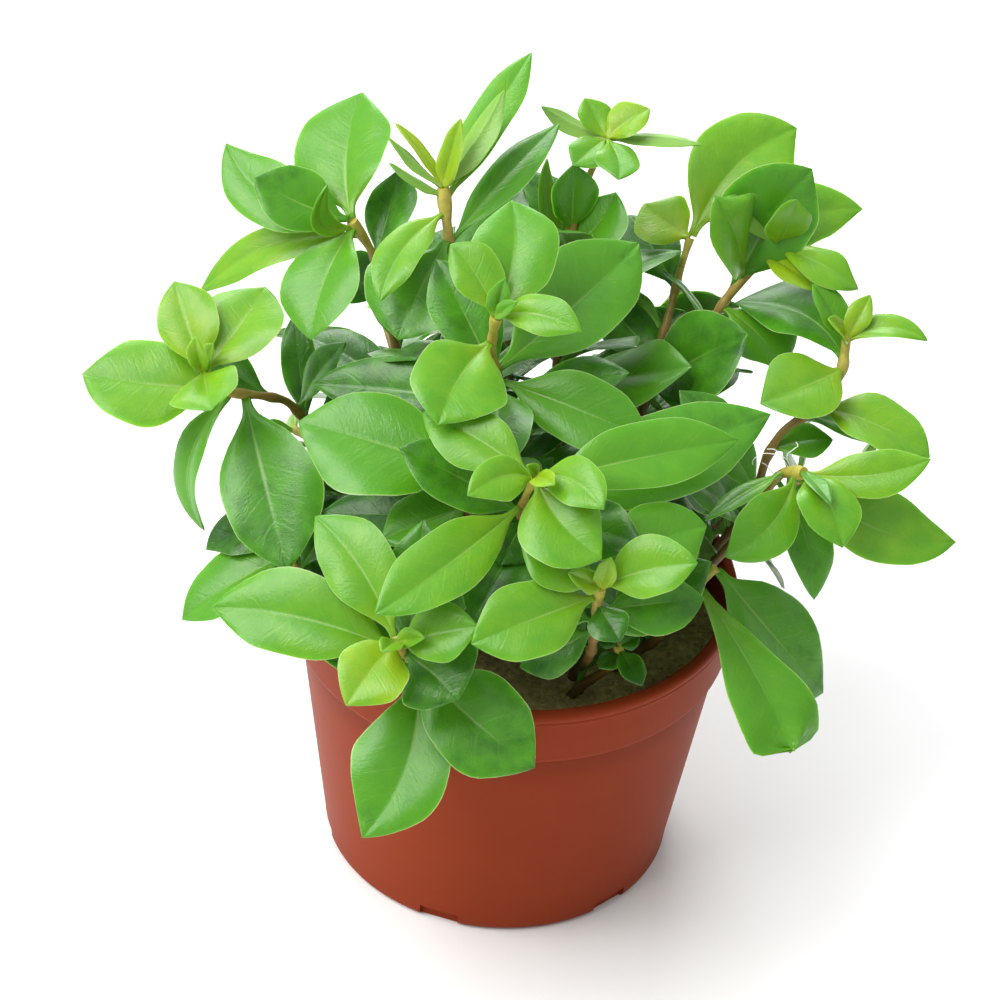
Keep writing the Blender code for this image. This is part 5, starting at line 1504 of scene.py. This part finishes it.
def soil_tree():
    """Tree that roughens the top of the soil and strews crumbs on it."""
    tree, source = new_tree("soil surface", {"Lump height": 0.70, "Crumbs": CRUMB_COUNT, "Seed": 7,
                                             "Smallest crumb": 0.12, "Largest crumb": 0.55})
    place = own_place(tree)
    x, y, height = numbers_of(tree, place)
    radius = combine_xyz(tree, x, y, 0.0).length()
    on_top = height.rise((SOIL_TOP - 2.0) * MM, (SOIL_TOP - 1.0) * MM)
    on_top = on_top * radius.rise(SOIL_EDGE[0] * MM, SOIL_EDGE[1] * MM)
    lumps = noise(tree, place, 260.0, 4.0, 0.6) - 0.5
    fine = noise(tree, place, 900.0, 2.0, 0.6) - 0.5
    lift = (lumps * 2.0 + fine * 0.7) * source["Lump height"] * on_top * MM
    rough = result(tree, "GeometryNodeSetPosition", {"Geometry": source["Geometry"],
                                                     "Offset": combine_xyz(tree, 0.0, 0.0, lift)})
    dots = result(tree, "GeometryNodeDistributePointsOnFaces", {
        "Mesh": rough, "Selection": on_top.above(0.5), "Seed": source["Seed"],
        "Density": source["Crumbs"] / (math.pi * (CRUMB_REACH * MM) ** 2)})
    crumb = result(tree, "GeometryNodeMeshIcoSphere", {"Radius": 1.0, "Subdivisions": 1})
    pick = Wire(random_value(tree, source, "FLOAT", 0.0, 1.0)[1]).power(3.0)
    spread = source["Largest crumb"] - source["Smallest crumb"]
    size = (source["Smallest crumb"] + pick * spread) * MM
    turn = random_value(tree, source, "FLOAT_VECTOR", (0.0, 0.0, 0.0), (6.28, 6.28, 6.28))[0]
    strewn = result(tree, "GeometryNodeInstanceOnPoints", {
        "Points": dots, "Instance": crumb, "Rotation": turn,
        "Scale": combine_xyz(tree, size, size * 0.85, size * 0.6)})
    end_tree(tree, source, join_geometry(tree, (rough, strewn)))
    return tree


# Putting the plant together

def join_pieces(name, pieces):
    """One object from several, with their materials."""
    first = pieces[0]
    with bpy.context.temp_override(active_object=first, selected_editable_objects=pieces, object=first):
        bpy.ops.object.join()
    first.name = name
    first.data.name = name
    return first


def dress(piece, node):
    """The piece stands for its CAD node, which is hidden."""
    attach(piece, "root")
    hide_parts(node)


def make_plant():
    stems = make_stems()
    leaves = make_leaves(stems)
    settle(leaves, stems)
    leaves += fill_inside(leaves, stems)
    for index, leaf in enumerate(leaves):
        leaf.seed = (index * 0.6180339) % 1.0
    blades = blade_tree()
    stalks = stem_tree()
    green = leaf_material()
    stem_skin = stem_material()
    for name, (path, _) in stems.items():
        own = [leaf for leaf in leaves if leaf.shoot == name]
        fused = [leaf for leaf in own if not leaf.name]
        stem = run_tree(name + "_stem", stem_guide(name, path, own), stalks, {"Material": stem_skin})
        stem.data.shade_smooth()
        pieces = [stem, grow_blades(name + "_blades", fused, blades, PLAIN_GRID, green)]
        if name == FIBRES_ON:
            pieces.append(make_fibres(stalks, fibre_material()))
        dress(join_pieces(name + "_shoot", pieces), "shoot_" + name)
    for leaf in leaves:
        if leaf.name:
            blade = grow_blades(leaf.name + "_blade", [leaf], blades, FINE_GRID, green)
            dress(blade, "leaf_" + leaf.name)


# Camera, floor and light

def make_camera():
    data = bpy.data.cameras.new("camera")
    data.sensor_width = SENSOR
    data.lens = VIEW_FOCAL * SENSOR / PICTURE
    data.shift_x = -(VIEW_CENTRE[0] - 0.5 * PICTURE) / PICTURE
    data.shift_y = (VIEW_CENTRE[1] - 0.5 * PICTURE) / PICTURE
    data.clip_start = 0.01
    camera = link_object("camera", data)
    place = (RIM_CENTRE + BACK * VIEW_DISTANCE) * MM
    turn = Matrix([VIEW_RIGHT, VIEW_UP, BACK]).transposed().to_4x4()
    camera.matrix_world = Matrix.Translation(Vector(place)) @ turn
    bpy.context.scene.camera = camera


def make_floor():
    material, tree, shader = new_material("floor")
    cloud = noise(tree, object_place(tree), 4.0)
    finish(shader, colour=blend(tree, cloud * 0.3, *FLOOR_COLOURS), roughness=0.9)
    corners = [(FLOOR_REACH * a, FLOOR_REACH * b, 0) for a, b in ((-1, -1), (1, -1), (1, 1), (-1, 1))]
    plain_object("floor", corners, [(0, 1, 2, 3)], material)


def make_lamp(name, place, size, power, colour):
    """Soft square lamp that faces the plant."""
    data = bpy.data.lights.new(name, "AREA")
    data.size = size
    data.energy = power
    data.color = colour
    lamp = link_object(name, data)
    lamp.location = place
    lamp.rotation_euler = (Vector((0, 0, 0.05)) - Vector(place)).to_track_quat("-Z", "Y").to_euler()


def make_light():
    """Studio that is brighter on one side, and three lamps."""
    world = bpy.data.worlds.new("studio")
    bpy.context.scene.world = world
    world.use_nodes = True
    background = world.node_tree.nodes["Background"]
    background.inputs[0].default_value = (*WORLD_COLOUR, 1.0)
    way = Wire(world.node_tree.nodes.new("ShaderNodeTexCoord").outputs["Generated"], True)
    plug(background.inputs[1], way.dot(BRIGHT_SIDE).rise(-0.6, 1.0, *WORLD_STRENGTH))
    for lamp in LAMPS:
        make_lamp(*lamp)


def main():
    make_camera()
    make_plant()
    dress(make_pot(pot_material()), "pot")
    dress(make_soil(soil_tree(), soil_material()), "soil")
    make_floor()
    make_light()
    bpy.context.scene.view_settings.view_transform = "Standard"


main()
